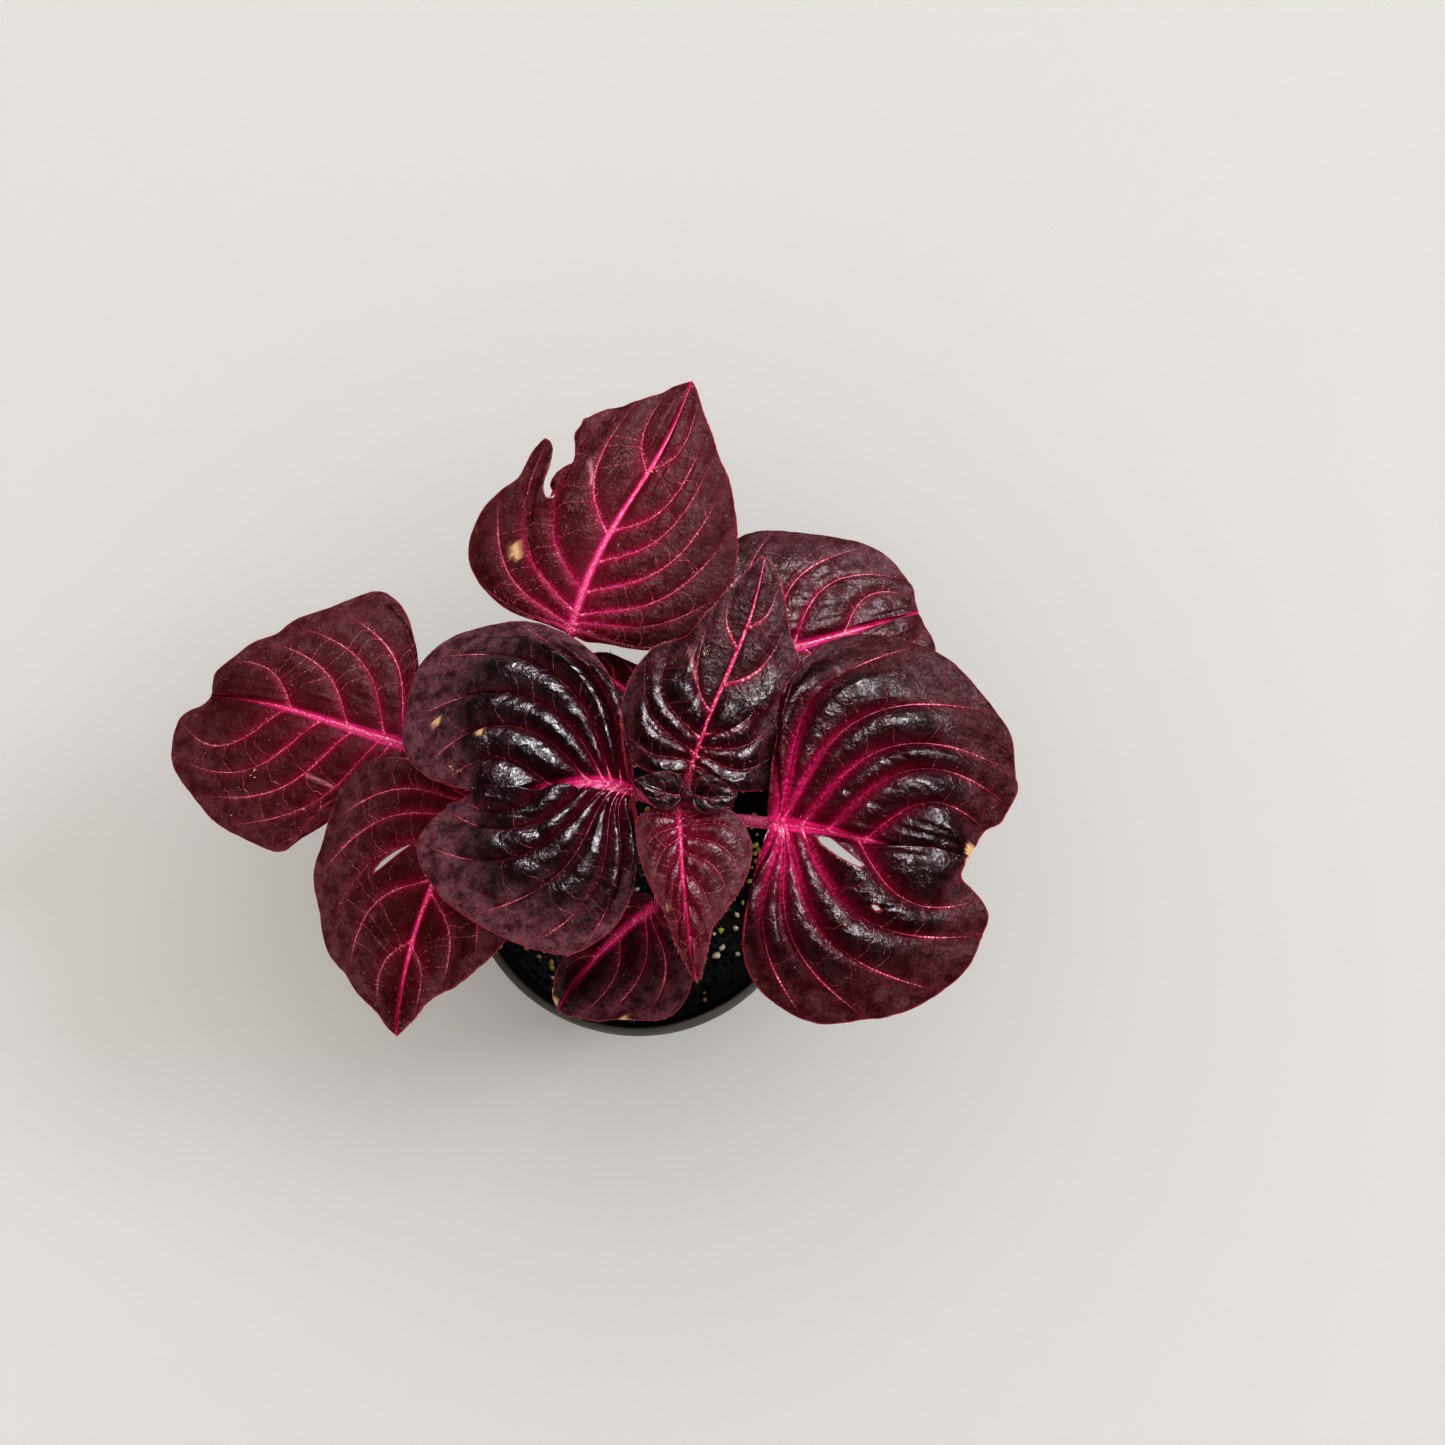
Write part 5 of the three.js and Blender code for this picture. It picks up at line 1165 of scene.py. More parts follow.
def add_rib(shape, leaf, thickness):
    """Adds the petiole, a cubic curve from the stem to the blade's base, and the rib that goes on
    from it under the midrib, in one tapering tube that swells where it meets the stem."""
    origin = np.zeros(2)
    begin = np.array(leaf["start"], float)
    base = blade_surface(leaf, origin)
    ahead = unit(blade_surface(leaf, np.array([1.0, 0])) - base)
    stretch = np.linalg.norm(base - begin)

    def radius_at(share):
        taper = (RIB_RADIUS - RIB_TIP_RADIUS) * (1 - share) ** 1.2
        return leaf["rib"] * (RIB_TIP_RADIUS + taper)

    def sunk(radius):
        return RIB_ABOVE_BLADE + thickness / 2 - radius

    normal = blade_normal(leaf, origin)
    end = base + normal * sunk(radius_at(0))
    second = begin + (end - begin) * (0.3, 0.3, 0) + (0, 0, stretch * 0.28)
    third = end - ahead * 0.35 * stretch
    u = np.linspace(0, 1, PETIOLE_STATIONS, endpoint=False)
    petiole = bezier((begin, second, third, end), u[:, None])
    share = np.linspace(0.0, 0.985, RIB_STATIONS)
    flat = midrib(leaf, share)
    normals = blade_normal(leaf, flat)
    radius = radius_at(share) * (1 - smooth_step(share, 0.94, 1.0) * 0.5)
    rib = blade_surface(leaf, flat) + normals * sunk(radius)[:, None]
    swell = 1 + 0.35 * bell(u, 0.07) + 0.08 * u
    radii = np.concatenate([radius_at(0) * swell, radius])[None]
    up = np.vstack([np.broadcast_to(normal, petiole.shape), normals])[None]
    points, triangles = tubes(np.vstack([petiole, rib])[None], radii, RIB_SIDES, up)

    look = leaf["look"]
    near, far, _ = look["midrib"]
    tone = np.concatenate([0.62 + 0.3 * u, 1.0 - 0.25 * share])[None]
    along = np.concatenate([-stretch * (1 - u), flat[:, 0]])[None]
    across = 1.5 * radii[0][:, None] * np.sin(full_turn(RIB_SIDES))
    tone, along = (tube_values(value, RIB_SIDES).ravel() for value in (tone, along))
    shown = np.clip(np.interp(along, [0, leaf["length"]], [near, far]), 0, 1)
    shape.add(points, triangles, cord=0.08 + 0.92 * tone * shown, edge=5, redness=look["red"],
              gloss=0.4, s=along, t=np.concatenate([across.ravel(), [0, 0]]))


def add_leaf(shape, leaf, settings, seed):
    """Adds a leaf: both halves of the blade with their veins, and the midrib with the petiole."""
    rng = np.random.default_rng(seed)
    thickness = settings.thickness / MM
    for half in halves(leaf, seed):
        add_half(shape, half, thickness)
        add_veins(shape, half, settings, rng)
    add_rib(shape, leaf, thickness)


# Materials

class Nodes:
    """A node tree, with short calls for the nodes that the looks are made from."""

    def __init__(self, tree):
        self.tree = tree

    def node(self, kind, inputs=None, **settings):
        """A new node, with its settings made and its inputs fed by name or number."""
        node = self.tree.nodes.new(kind)
        for name, value in settings.items():
            setattr(node, name, value)
        for name, value in (inputs or {}).items():
            self.feed(node.inputs[name], value)
        return node

    def feed(self, socket, value):
        """Links a socket to another one's output, or sets its constant."""
        if isinstance(value, bpy.types.NodeSocket):
            self.tree.links.new(value, socket)
        elif isinstance(value, (tuple, list)) or hasattr(value, "hsv"):
            socket.default_value = (*value[:3], 1) if len(socket.default_value) == 4 else value
        else:
            socket.default_value = value

    def attribute(self, name):
        return self.node("ShaderNodeAttribute", attribute_name=name).outputs["Fac"]

    def math(self, operation, first, second, clamp=False):
        return self.node("ShaderNodeMath", {0: first, 1: second}, operation=operation,
                         use_clamp=clamp).outputs[0]

    def times(self, first, second, clamp=False):
        return self.math("MULTIPLY", first, second, clamp)

    def mix(self, share, first, second):
        return self.node("ShaderNodeMix", {0: share, 6: first, 7: second}, data_type="RGBA",
                         clamp_factor=True).outputs[2]

    def span(self, value, low, high, to_low=0.0, to_high=1.0, smooth=True):
        """The value's place between low and high, carried to between to_low and to_high."""
        return self.node(
            "ShaderNodeMapRange",
            {"Value": value, "From Min": low, "From Max": high, "To Min": to_low,
             "To Max": to_high},
            interpolation_type="SMOOTHSTEP" if smooth else "LINEAR").outputs["Result"]


class Look(Nodes):
    """A material, built up on its shader. Noise runs over the object unless told otherwise."""

    def __init__(self, name):
        self.material = bpy.data.materials.new(name)
        self.material.use_nodes = True
        super().__init__(self.material.node_tree)
        self.shader = next(n for n in self.tree.nodes if n.type == "BSDF_PRINCIPLED")
        self.coordinates = self.node("ShaderNodeTexCoord").outputs["Object"]

    def noise(self, scale, detail=3.0, roughness=0.5, vector=None, distortion=0.0):
        return self.node("ShaderNodeTexNoise", {
            "Vector": vector or self.coordinates, "Scale": scale, "Detail": detail,
            "Roughness": roughness, "Distortion": distortion}).outputs["Fac"]

    def streaks(self, scale, detail, roughness, height_share):
        """Noise drawn out along Z."""
        stretched = self.node("ShaderNodeMapping",
                              {"Vector": self.coordinates, "Scale": (1, 1, height_share)})
        return self.noise(scale, detail, roughness, stretched.outputs[0])

    def vector(self, x, y):
        return self.node("ShaderNodeCombineXYZ", {"X": x, "Y": y}).outputs[0]

    def bump(self, height, strength, distance, after=None):
        inputs = {"Height": height, "Strength": strength, "Distance": distance}
        if after is not None:
            inputs["Normal"] = after
        return self.node("ShaderNodeBump", inputs).outputs[0]

    def finish(self, colour, roughness, normal=None, **values):
        """Feeds the shader and gives back the material."""
        values.update(Base_Color=colour, Roughness=roughness)
        if normal is not None:
            values["Normal"] = normal
        for name, value in values.items():
            self.feed(self.shader.inputs[name.replace("_", " ")], value)
        return self.material


def leaf_material(name, settings, rim_share=0.8):
    """Maroon blade, from near black to red by leaf, with dark glossy bands, a brown cast, a
    purple-grey bloom towards the margin that is partly painted sheen, pale mottles of painted
    sheen, crimson beside the veins, and pink cords and midrib with painted glints on the cords."""
    look = Look(name)
    s, t = look.attribute("s"), look.attribute("t")
    flat = look.vector(s, t)
    broad = look.noise(0.11, 3, 0.6, flat)
    patchy = look.noise(0.33, 3, 0.6, flat)
    grain = look.noise(1.5, 4, 0.65, flat)
    painted_glints = look.noise(2.3, 2, 0.6, flat)
    fine = look.noise(4.2, 3, 0.7, flat)
    under = look.attribute("under")
    cord = look.attribute("cord")
    gloss = look.attribute("gloss")
    edge = look.attribute("edge")

    # The blade's own red or near black, and its brown cast
    red = look.times(look.attribute("redness"), look.span(broad, 0.2, 0.75, 0.8, 1.15))
    colour = look.mix(red, settings.dark, settings.red)
    inside = look.span(edge, 2.0, 9.0, 0.15, 1.0)
    cast = look.times(inside, look.span(grain, 0.3, 0.7, 0.12, 0.52))
    cast = look.times(cast, look.span(red, 0.0, 0.55))
    colour = look.mix(cast, colour, settings.dusty)

    # Dark bands, bloom towards the margin, partly painted sheen, and pale mottles of painted sheen
    band = look.times(look.attribute("band"), look.span(grain, 0.3, 0.7, 0.8, 1.0))
    colour = look.mix(band, colour, settings.band)
    # Bloom, partly the blade's own purple-grey tone and partly painted sheen
    bloom = look.times(look.attribute("bloom"), look.span(grain, 0.25, 0.7, 0.45, 1.0))
    bloom = look.times(bloom, look.span(patchy, 0.3, 0.65, 0.35, 1.25), clamp=True)
    colour = look.mix(bloom, colour, settings.bloom)
    # Pale mottles on the crowns between veins are painted sheen
    painted_sheen_share = look.times(look.span(patchy, 0.38, 0.68), look.span(grain, 0.32, 0.62))
    painted_sheen_share = look.times(painted_sheen_share, look.math("SUBTRACT", 1.0, band))
    colour = look.mix(look.times(painted_sheen_share, 0.22), colour, settings.painted_sheen)

    # A net of the finest veins, as the edges of cells a little over two millimetres wide
    warp = look.times(look.math("SUBTRACT", look.noise(0.9, 2, 0.5, flat), 0.5), 1.3)
    warped = look.vector(look.math("ADD", s, warp), look.math("ADD", t, warp))
    cells = look.node("ShaderNodeTexVoronoi", {"Vector": warped, "Scale": 0.42},
                      feature="DISTANCE_TO_EDGE", voronoi_dimensions="2D")
    net = look.span(cells.outputs["Distance"], 0.0, 0.055, 1.0, 0.0)
    net_share = look.times(look.times(net, look.span(edge, 3.0, 11.0, 1.0, 0.25)), 0.26)
    colour = look.mix(net_share, colour, settings.crimson)

    # Halos beside the side veins, the midrib's core and the margin's rim
    uneven = look.span(grain, 0.3, 0.7, 0.7, 1.2)
    drawn_out = look.vector(look.times(s, 0.35), look.times(t, 3.2))
    streaks = look.span(look.noise(1.0, 3, 0.7, drawn_out), 0.35, 0.65)
    pink = look.mix(look.times(streaks, 0.6), settings.pink, settings.crimson)
    glow = look.times(look.attribute("glow"), uneven, clamp=True)
    glow_tone = look.mix(look.span(glow, 0.35, 1.1), settings.crimson, settings.pink)
    colour = look.mix(glow, colour, glow_tone)
    core = look.times(look.attribute("core"), look.span(fine, 0.3, 0.7, 0.8, 1.1), clamp=True)
    core_tone = look.mix(look.span(core, 0.2, 0.8), settings.crimson, pink)
    colour = look.mix(core, colour, core_tone)
    colour = look.mix(look.span(edge, 0.12, 0.40, rim_share, 0.0), colour, LEAF_RIM)

    # Cords, greyer where the bloom and painted sheen lie, painted lighter with pale where strongest
    # to offset the shade of their furrows, and with pale specks painted as glints
    cord_tone = look.mix(look.span(cord, 0.1, 0.7), settings.crimson, pink)
    cord_tone = look.mix(look.span(cord, 0.3, 0.9, 0.0, 0.12), cord_tone, settings.pale)
    dusty = look.span(look.attribute("bloom"), 0.0, 0.8, 0.0, 0.75)
    cord_tone = look.mix(dusty, cord_tone, DUSTY_CORD)
    # Pale specks on the cords are painted glints
    cord_tone = look.mix(look.span(painted_glints, 0.52, 0.62, 0.0, 0.85), cord_tone, settings.pale)
    colour = look.mix(look.span(cord, 0.0, 0.3), colour, cord_tone)

    # Scars, dry spots and the underside
    scar = look.times(look.attribute("scar"), uneven, clamp=True)
    colour = look.mix(scar, colour, settings.pale)
    dry = look.times(look.attribute("dry"), look.span(grain, 0.25, 0.6, 0.7, 1.0))
    colour = look.mix(dry, colour, settings.dry)
    below = look.mix(look.span(grain, 0.3, 0.7, 0.25, 0.6), LEAF_BELOW, LEAF_BELOW_RED)
    below = look.mix(look.attribute("glow"), below, settings.crimson)
    colour = look.mix(under, colour, below)

    # Satin skin under an uneven varnish, which only the upper face has
    satin = look.span(fine, 0.25, 0.75, 0.50, 0.66, smooth=False)
    roughness = look.math("SUBTRACT", satin, look.times(gloss, 0.26))
    smears = look.noise(0.26, 3, 0.55, flat, 0.8)
    varnish = look.times(look.times(gloss, look.math("SUBTRACT", 1.0, under)),
                         look.span(grain, 0.35, 0.62, 0.4, 1.0))
    varnish = look.times(varnish, look.span(smears, 0.36, 0.58, 0.12, 1.15), clamp=True)
    crinkle = look.noise(0.75, 4, 0.6, flat, 0.6)
    creased = look.bump(crinkle, 0.5, 0.0007)
    normal = look.bump(grain, 0.5, 0.0004, creased)
    normal = look.bump(fine, 0.35, 0.00012, normal)
    normal = look.bump(net, 0.25, 0.00012, normal)
    leather = look.bump(grain, 0.45, 0.00035, creased)
    return look.finish(colour, roughness, normal, Coat_Weight=varnish, Coat_Normal=leather,
                       Coat_Roughness=0.3, Coat_IOR=1.5, Specular_IOR_Level=0.05)


def stem_material(settings):
    """Juicy magenta-red skin with darker blotches and fine pale streaks up the stem."""
    look = Look("bloodleaf stem")
    streak = look.streaks(1900, 4, 0.6, 0.12)
    blotch = look.noise(140)
    colour = look.mix(look.span(blotch, 0.35, 0.7), settings.colour, STEM_BLOTCH)
    colour = look.mix(look.span(streak, 0.55, 0.72, 0.0, 0.45), colour, STEM_STREAK)
    normal = look.bump(streak, 0.3, 0.00015)
    return look.finish(colour, look.span(blotch, 0.3, 0.7, 0.3, 0.45), normal, Coat_Weight=0.15,
                       Subsurface_Weight=0.08, Subsurface_Scale=0.002)


def hair_material():
    """Fine hairs, from pink to nearly white by the tone each one has."""
    look = Look("bloodleaf hair")
    return look.finish(look.mix(look.attribute("tone"), HAIR_PINK, HAIR_WHITE), 0.35)


def husk_material():
    """Dull straw-coloured flakes with brown grain."""
    look = Look("dry husk")
    grain = look.noise(2600, 3, 0.6)
    colour = look.mix(look.span(grain, 0.3, 0.7), HUSK_BROWN, HUSK_STRAW)
    return look.finish(colour, 0.75, look.bump(grain, 0.5, 0.0001))


def pot_material(settings):
    """Thin black plastic: fine moulded grain, faint upright scuffs and a dusty rim band, with a
    lighter grey ring on its lip. The band and the lip lie on the outer side only."""
    look = Look("nursery pot plastic")
    place = look.node("ShaderNodeSeparateXYZ", {0: look.coordinates})
    across = look.vector(place.outputs["X"], place.outputs["Y"])
    radius = look.node("ShaderNodeVectorMath", {0: across}, operation="LENGTH").outputs["Value"]
    grain = look.noise(5200, 2)
    dust = look.noise(160, 5, 0.65)
    scuff = look.streaks(1300, 3, 0.7, 0.06)
    speckled = look.times(look.span(dust, 0.45, 0.75), 0.35)
    colour = look.mix(speckled, settings.colour, POT_DUST)
    outer = look.span(radius, 0.0362, 0.0370)
    band = look.times(look.span(place.outputs["Z"], 0.052, 0.066), outer)
    band = look.times(band, look.span(dust, 0.2, 0.6, 0.55, 0.95))
    colour = look.mix(band, colour, POT_RIM_DUST)
    lip = look.times(look.span(place.outputs["Z"], 0.0652, 0.0659), outer)
    colour = look.mix(look.times(lip, 0.8), colour, POT_LIP)
    colour = look.mix(look.span(scuff, 0.66, 0.8, 0.0, 0.3), colour, POT_SCUFF)
    normal = look.bump(grain, 0.12, 0.00006)
    normal = look.bump(scuff, 0.12, 0.00008, normal)
    return look.finish(colour, look.span(dust, 0.3, 0.7, 0.38, 0.58), normal,
                       Specular_IOR_Level=0.45)


def soil_material(settings):
    """Damp black peat, with brown fibres and a little glint."""
    look = Look("peat")
    grain = look.noise(1500, 5, 0.7)
    coarse = look.noise(330, 3, 0.6)
    colour = look.mix(look.span(grain, 0.4, 0.8), settings.colour, PEAT_GRAIN)
    colour = look.mix(look.span(coarse, 0.55, 0.75, 0.0, 0.5), colour, PEAT_FIBRE)
    normal = look.bump(grain, 0.9, 0.0006)
    return look.finish(colour, look.span(grain, 0.3, 0.7, 0.55, 0.9), normal)


def grit_material(settings):
    """Grains of perlite and grit, husks and bark, told apart by the shade each one has."""
    look = Look("grit")
    shade = look.attribute("shade")
    grain = look.noise(3200, 3, 0.6)
    colour = BARK
    for low, high, tone in zip(GRIT_SHADES, GRIT_SHADES[1:],
                               (settings.grit_colour, GREEN_GRIT, PERLITE)):
        colour = look.mix(look.span(shade, low, high, smooth=False), colour, tone)
    colour = look.mix(look.span(grain, 0.35, 0.7, 0.3, 0.0), colour, GRIT_DIRT)
    return look.finish(colour, 0.8, look.bump(grain, 0.5, 0.0002))


def floor_material(settings):
    """A pale matt table, very faintly clouded."""
    look = Look("pale table")
    cloud = look.noise(2.3)
    darker = tuple(c * 0.97 for c in settings.floor_colour)
    colour = look.mix(look.span(cloud, 0.3, 0.7, 0.0, 0.35), settings.floor_colour, darker)
    return look.finish(colour, 0.9, Specular_IOR_Level=0.0)


# Operators

class BLOODLEAF_OT_stage(bpy.types.Operator):
    """Lays the pale floor, hangs the soft light and sets up the camera"""
    bl_idname = "bloodleaf.stage"
    bl_label = "Stage, light and camera"

    def execute(self, context):
        settings = context.scene.bloodleaf_stage
        half = settings.floor_size / 2 / MM
        corners = [(-half, -half, 0), (half, -half, 0), (half, half, 0), (-half, half, 0)]
        floor = mesh_object("floor", corners, [(0, 1, 2, 3)], floor_material(settings))
        self.soft_light("window", settings.window_size, settings.window_power, WINDOW_PLACE,
                        WINDOW_TINT)
        panes = self.soft_light("window panes", settings.window_size * PANES_SIZE,
                                settings.window_power * PANES_POWER, PANES_PLACE, PANES_TINT)
        panes.visible_diffuse = False
        context.scene.world = self.soft_room(settings)
        context.scene.view_settings.view_transform = "Standard"
        context.scene.view_settings.look = "Very High Contrast"

        data = bpy.data.cameras.new("camera")
        data.lens = CAMERA_LENS
        data.clip_start = 0.01
        camera = linked("camera", data)
        camera.location = Vector(CAMERA_PLACE) * MM
        camera.rotation_euler = (CAMERA_TILT, 0, 0)
        context.scene.camera = camera
        return {"FINISHED"}

    def soft_light(self, name, size, power, place, tint):
        """A round area light aimed at the plant."""
        light = bpy.data.lights.new(name, "AREA")
        light.shape = "DISK"
        light.size = size
        light.energy = power
        light.color = tint
        lamp = linked(name, light)
        lamp.location = place
        aim = Vector(LIGHT_TARGET) - Vector(place)
        lamp.rotation_euler = aim.to_track_quat("-Z", "Y").to_euler()
        return lamp

    def soft_room(self, settings):
        """Light from all round, a little stronger from the bright side. Of it, glossy faces
        mirror only the share that the gleam allows."""
        world = bpy.data.worlds.new("soft room")
        world.use_nodes = True
        room = Nodes(world.node_tree)
        direction = room.node("ShaderNodeTexCoord").outputs["Generated"]
        towards = room.node("ShaderNodeVectorMath",
                            {0: direction, 1: unit(ROOM_BRIGHT_SIDE)},
                            operation="DOT_PRODUCT").outputs["Value"]
        fill = room.span(towards, *ROOM_SPAN, settings.fill * ROOM_SHADE, settings.fill)
        glossy = room.node("ShaderNodeLightPath").outputs["Is Glossy Ray"]
        share = room.span(glossy, 0.0, 1.0, 1.0, settings.gleam, smooth=False)
        background = room.tree.nodes["Background"]
        room.feed(background.inputs["Strength"], room.times(fill, share))
        room.feed(background.inputs["Color"], ROOM_TINT)
        return world


class BLOODLEAF_OT_pot(bpy.types.Operator):
    """Turns the pot: a thin tapered cup with a broad rim band, a foot ring and drain holes"""
    bl_idname = "bloodleaf.pot"
    bl_label = "Pot"

    def execute(self, context):
        settings = context.scene.bloodleaf_pot
        shape = Shape()
        shape.add(*lathe(rounded(self.profile(settings), POT_ROUNDING), POT_SIDES))
        piece = shape.piece("nursery_pot", pot_material(settings), "pot", ["pot"])

        turn = 2 * np.pi * (np.arange(settings.holes) + 0.5) / max(settings.holes, 1)
        paths = around(settings.hole_circle / MM, turn[:, None], DRILL_HEIGHTS)
        radii = np.full(paths.shape[:2], settings.hole_radius / MM)
        drills = mesh_object("drills", *tubes(paths, radii, DRILL_SIDES, (1, 0, 0)))
        cut = piece.modifiers.new("drain holes", "BOOLEAN")
        cut.operation = "DIFFERENCE"
        cut.solver = "EXACT"
        cut.object = drills
        context.view_layer.update()
        graph = context.evaluated_depsgraph_get()
        drilled = bpy.data.meshes.new_from_object(piece.evaluated_get(graph))
        piece.modifiers.remove(cut)
        piece.data = drilled
        bpy.data.objects.remove(drills)
        drilled.shade_smooth()
        drilled.set_sharp_from_angle(angle=math.radians(POT_SHARP))
        return {"FINISHED"}

    def profile(self, settings):
        """The pot's outline from the middle of its foot, up the outside, over the rim and down
        the inside to the middle of its floor. Bare numbers are small steps and chamfers."""
        size = {key: getattr(settings, key) / MM for key in (
            "height", "rim_radius", "rim_inner_radius", "band_height", "wall_top_radius",
            "foot_radius", "foot_width", "foot_height", "pad_radius", "wall", "floor")}
        height, rim, foot = size["height"], size["rim_radius"], size["foot_radius"]
        inner, pad, wall = size["rim_inner_radius"], size["pad_radius"], size["wall"]
        foot_inside = foot - size["foot_width"]
        raised = size["foot_height"]
        floor_top = raised + size["floor"]
        band = height - size["band_height"]

        def wall_radius(z):
            return foot + (size["wall_top_radius"] - foot) * z / band

        return [
            (0, 0), (pad, 0), (pad + 0.5, raised), (foot_inside, raised), (foot_inside, 0),
            (foot - 0.2, 0), (foot + 0.1, 0.5), (wall_radius(band), band), (rim - 0.7, band),
            (rim - 0.4, band + 0.4), (rim, height - 0.7), (rim - 0.3, height),
            (inner + 0.2, height), (inner, height - 0.5),
            (wall_radius(band) - wall + 1.2, band + 0.6),
            (wall_radius(band - 1.5) - wall, band - 1.5),
            (wall_radius(floor_top) - wall, floor_top), (0, floor_top)]


def soil_height(settings, x, y):
    """Two crossed ripples for lumps, a grain where two finer ripples agree, and all of it dying
    away towards the wall of the pot."""
    top, rough, grain = settings.top / MM, settings.roughness / MM, settings.grain / MM
    inner = bpy.context.scene.bloodleaf_pot.rim_inner_radius / MM
    edge = 1 - np.minimum(1, np.hypot(x, y) / (inner - 2)) ** 4
    lump = np.sin(0.41 * x + 1.3) * np.cos(0.37 * y) + 0.6 * np.sin(0.83 * y - 0.55 * x + 2)
    grains = np.maximum(0, np.sin(1.31 * x + 0.4) * np.sin(1.17 * y + 1.1)) ** 3
    return top + edge * (rough * lump * 0.6 + grain * grains) - 0.5 * (1 - edge)


class BLOODLEAF_OT_soil(bpy.types.Operator):
    """Fills the pot with peat, with crumbs, fibres and pale grit strewn over it"""
    bl_idname = "bloodleaf.soil"
    bl_label = "Soil"

    def execute(self, context):
        settings = context.scene.bloodleaf_soil
        rng = np.random.default_rng(SOIL_SEED)
        material = soil_material(settings)
        peat = Shape()
        peat.add(*self.body(settings))
        peat.piece("peat", material, "soil", ["soil"])

        crumbs = Shape()
        centres = self.strewn(rng, settings, settings.crumbs, 1.0, 0.1)
        radii = rng.uniform(0.25, 0.95, (len(centres), 1)) * rng.uniform(0.6, 1.1, centres.shape)
        crumbs.add(*lumps(centres, radii, CRUMB_SEED, 0.3))
        crumbs.add(*self.fibres(rng, self.strewn(rng, settings, settings.fibres, 3.0, 0.45)))
        crumbs.piece("peat_crumbs", material, "soil")

        grit = Shape()
        centres = self.strewn(rng, settings, settings.grit, 1.0, 0.35)
        radii = rng.uniform(0.35, 1.15, (len(centres), 1)) * rng.uniform(0.6, 1.0, centres.shape)
        points, faces = lumps(centres, radii, GRIT_SEED, 0.22)
        shade = rng.choice(GRIT_SHADES, len(centres), p=GRIT_SHARES)
        grit.add(points, faces, shade=np.repeat(shade, len(points) // len(centres)))
        grit.piece("grit", grit_material(settings), "soil")
        return {"FINISHED"}

    def body(self, settings):
        """The soil's rough top as rings, and its plain skirt down inside the pot."""
        turn = full_turn(SOIL_SIDES)
        radius = np.linspace(*SOIL_RADII, SOIL_RINGS)[:, None]
        top = around(radius, turn, 0)
        rough = 0.28 * patch_noise(top, 1.7, 30, 3) + 0.22 * patch_noise(top, 0.7, 30, 4)
        rough = rough * (1 - (radius / SOIL_ROUGH_WITHIN) ** 8)
        top[..., 2] = soil_height(settings, top[..., 0], top[..., 1]) + rough
        rings = np.stack([*top, *(around(r, turn, h) for r, h in SOIL_SKIRT)])
        poles = [(0, 0, top[0, :, 2].mean()), (0, 0, SOIL_SKIRT[-1][1])]
        triangles = ring_triangles(len(rings), SOIL_SIDES)[:, ::-1]
        return np.vstack([rings.reshape(-1, 3), poles]), triangles

    def strewn(self, rng, settings, number, size, lift):
        """Random places on the soil, each at least its size away from the wall of the pot."""
        place = rng.uniform(-STREWN_RADIUS, STREWN_RADIUS, (number * 2, 2))
        place = place[np.hypot(*place.T) < STREWN_RADIUS - size][:number]
        return np.column_stack([place, soil_height(settings, *place.T) + lift])

    def fibres(self, rng, places):
        """Thin tubes through the places, bent sideways as parabolas and thinner at the ends."""
        count = len(places)
        aim = rng.uniform(0, 2 * np.pi, (count, 1))
        reach = rng.uniform(1.2, 3.4, (count, 1))
        bend = rng.uniform(-0.35, 0.35, (count, 1))
        u = np.linspace(-1, 1, 9)
        along, sideways = reach * u, reach * bend * u * u
        x, y, z = (places[:, i:i + 1] for i in range(3))
        paths = np.stack(np.broadcast_arrays(
            x + along * np.cos(aim) - sideways * np.sin(aim),
            y + along * np.sin(aim) + sideways * np.cos(aim),
            z + 0.25 * np.sin(3 * u)), axis=-1)
        radii = rng.uniform(0.07, 0.16, (count, 1)) * (1 - 0.6 * np.abs(u))
        return tubes(paths, radii, 5, (0, 0, 1))


class BLOODLEAF_OT_stems(bpy.types.Operator):
    """Grows the three stems, swollen at their nodes"""
    bl_idname = "bloodleaf.stems"
    bl_label = "Stems"

    def execute(self, context):
        settings = context.scene.bloodleaf_stem
        material = stem_material(settings)
        for name, rows in STEMS.items():
            line = smooth_line(rows, 9)
            shape = Shape()
            shape.add(*tubes(line[None, :, :3], line[None, :, 3], settings.sides, (0, 1, 0)))
            shape.piece(name.replace("stem_", "") + "_stem", material, "stem", [name])
        return {"FINISHED"}


class BLOODLEAF_OT_leaves(bpy.types.Operator):
    """Grows the twelve grown leaves, each with its petiole, midrib and veins"""
    bl_idname = "bloodleaf.leaves"
    bl_label = "Leaves"

    def execute(self, context):
        settings = context.scene.bloodleaf_leaf
        material = leaf_material("bloodleaf blade", settings)
        for seed, (name, leaf) in enumerate(LEAVES.items(), start=LEAF_SEED):
            shape = Shape()
            add_leaf(shape, leaf, settings, seed)
            shape.piece(name.replace("leaf_", "") + "_leaf", material, "leaf", [name])
        return {"FINISHED"}


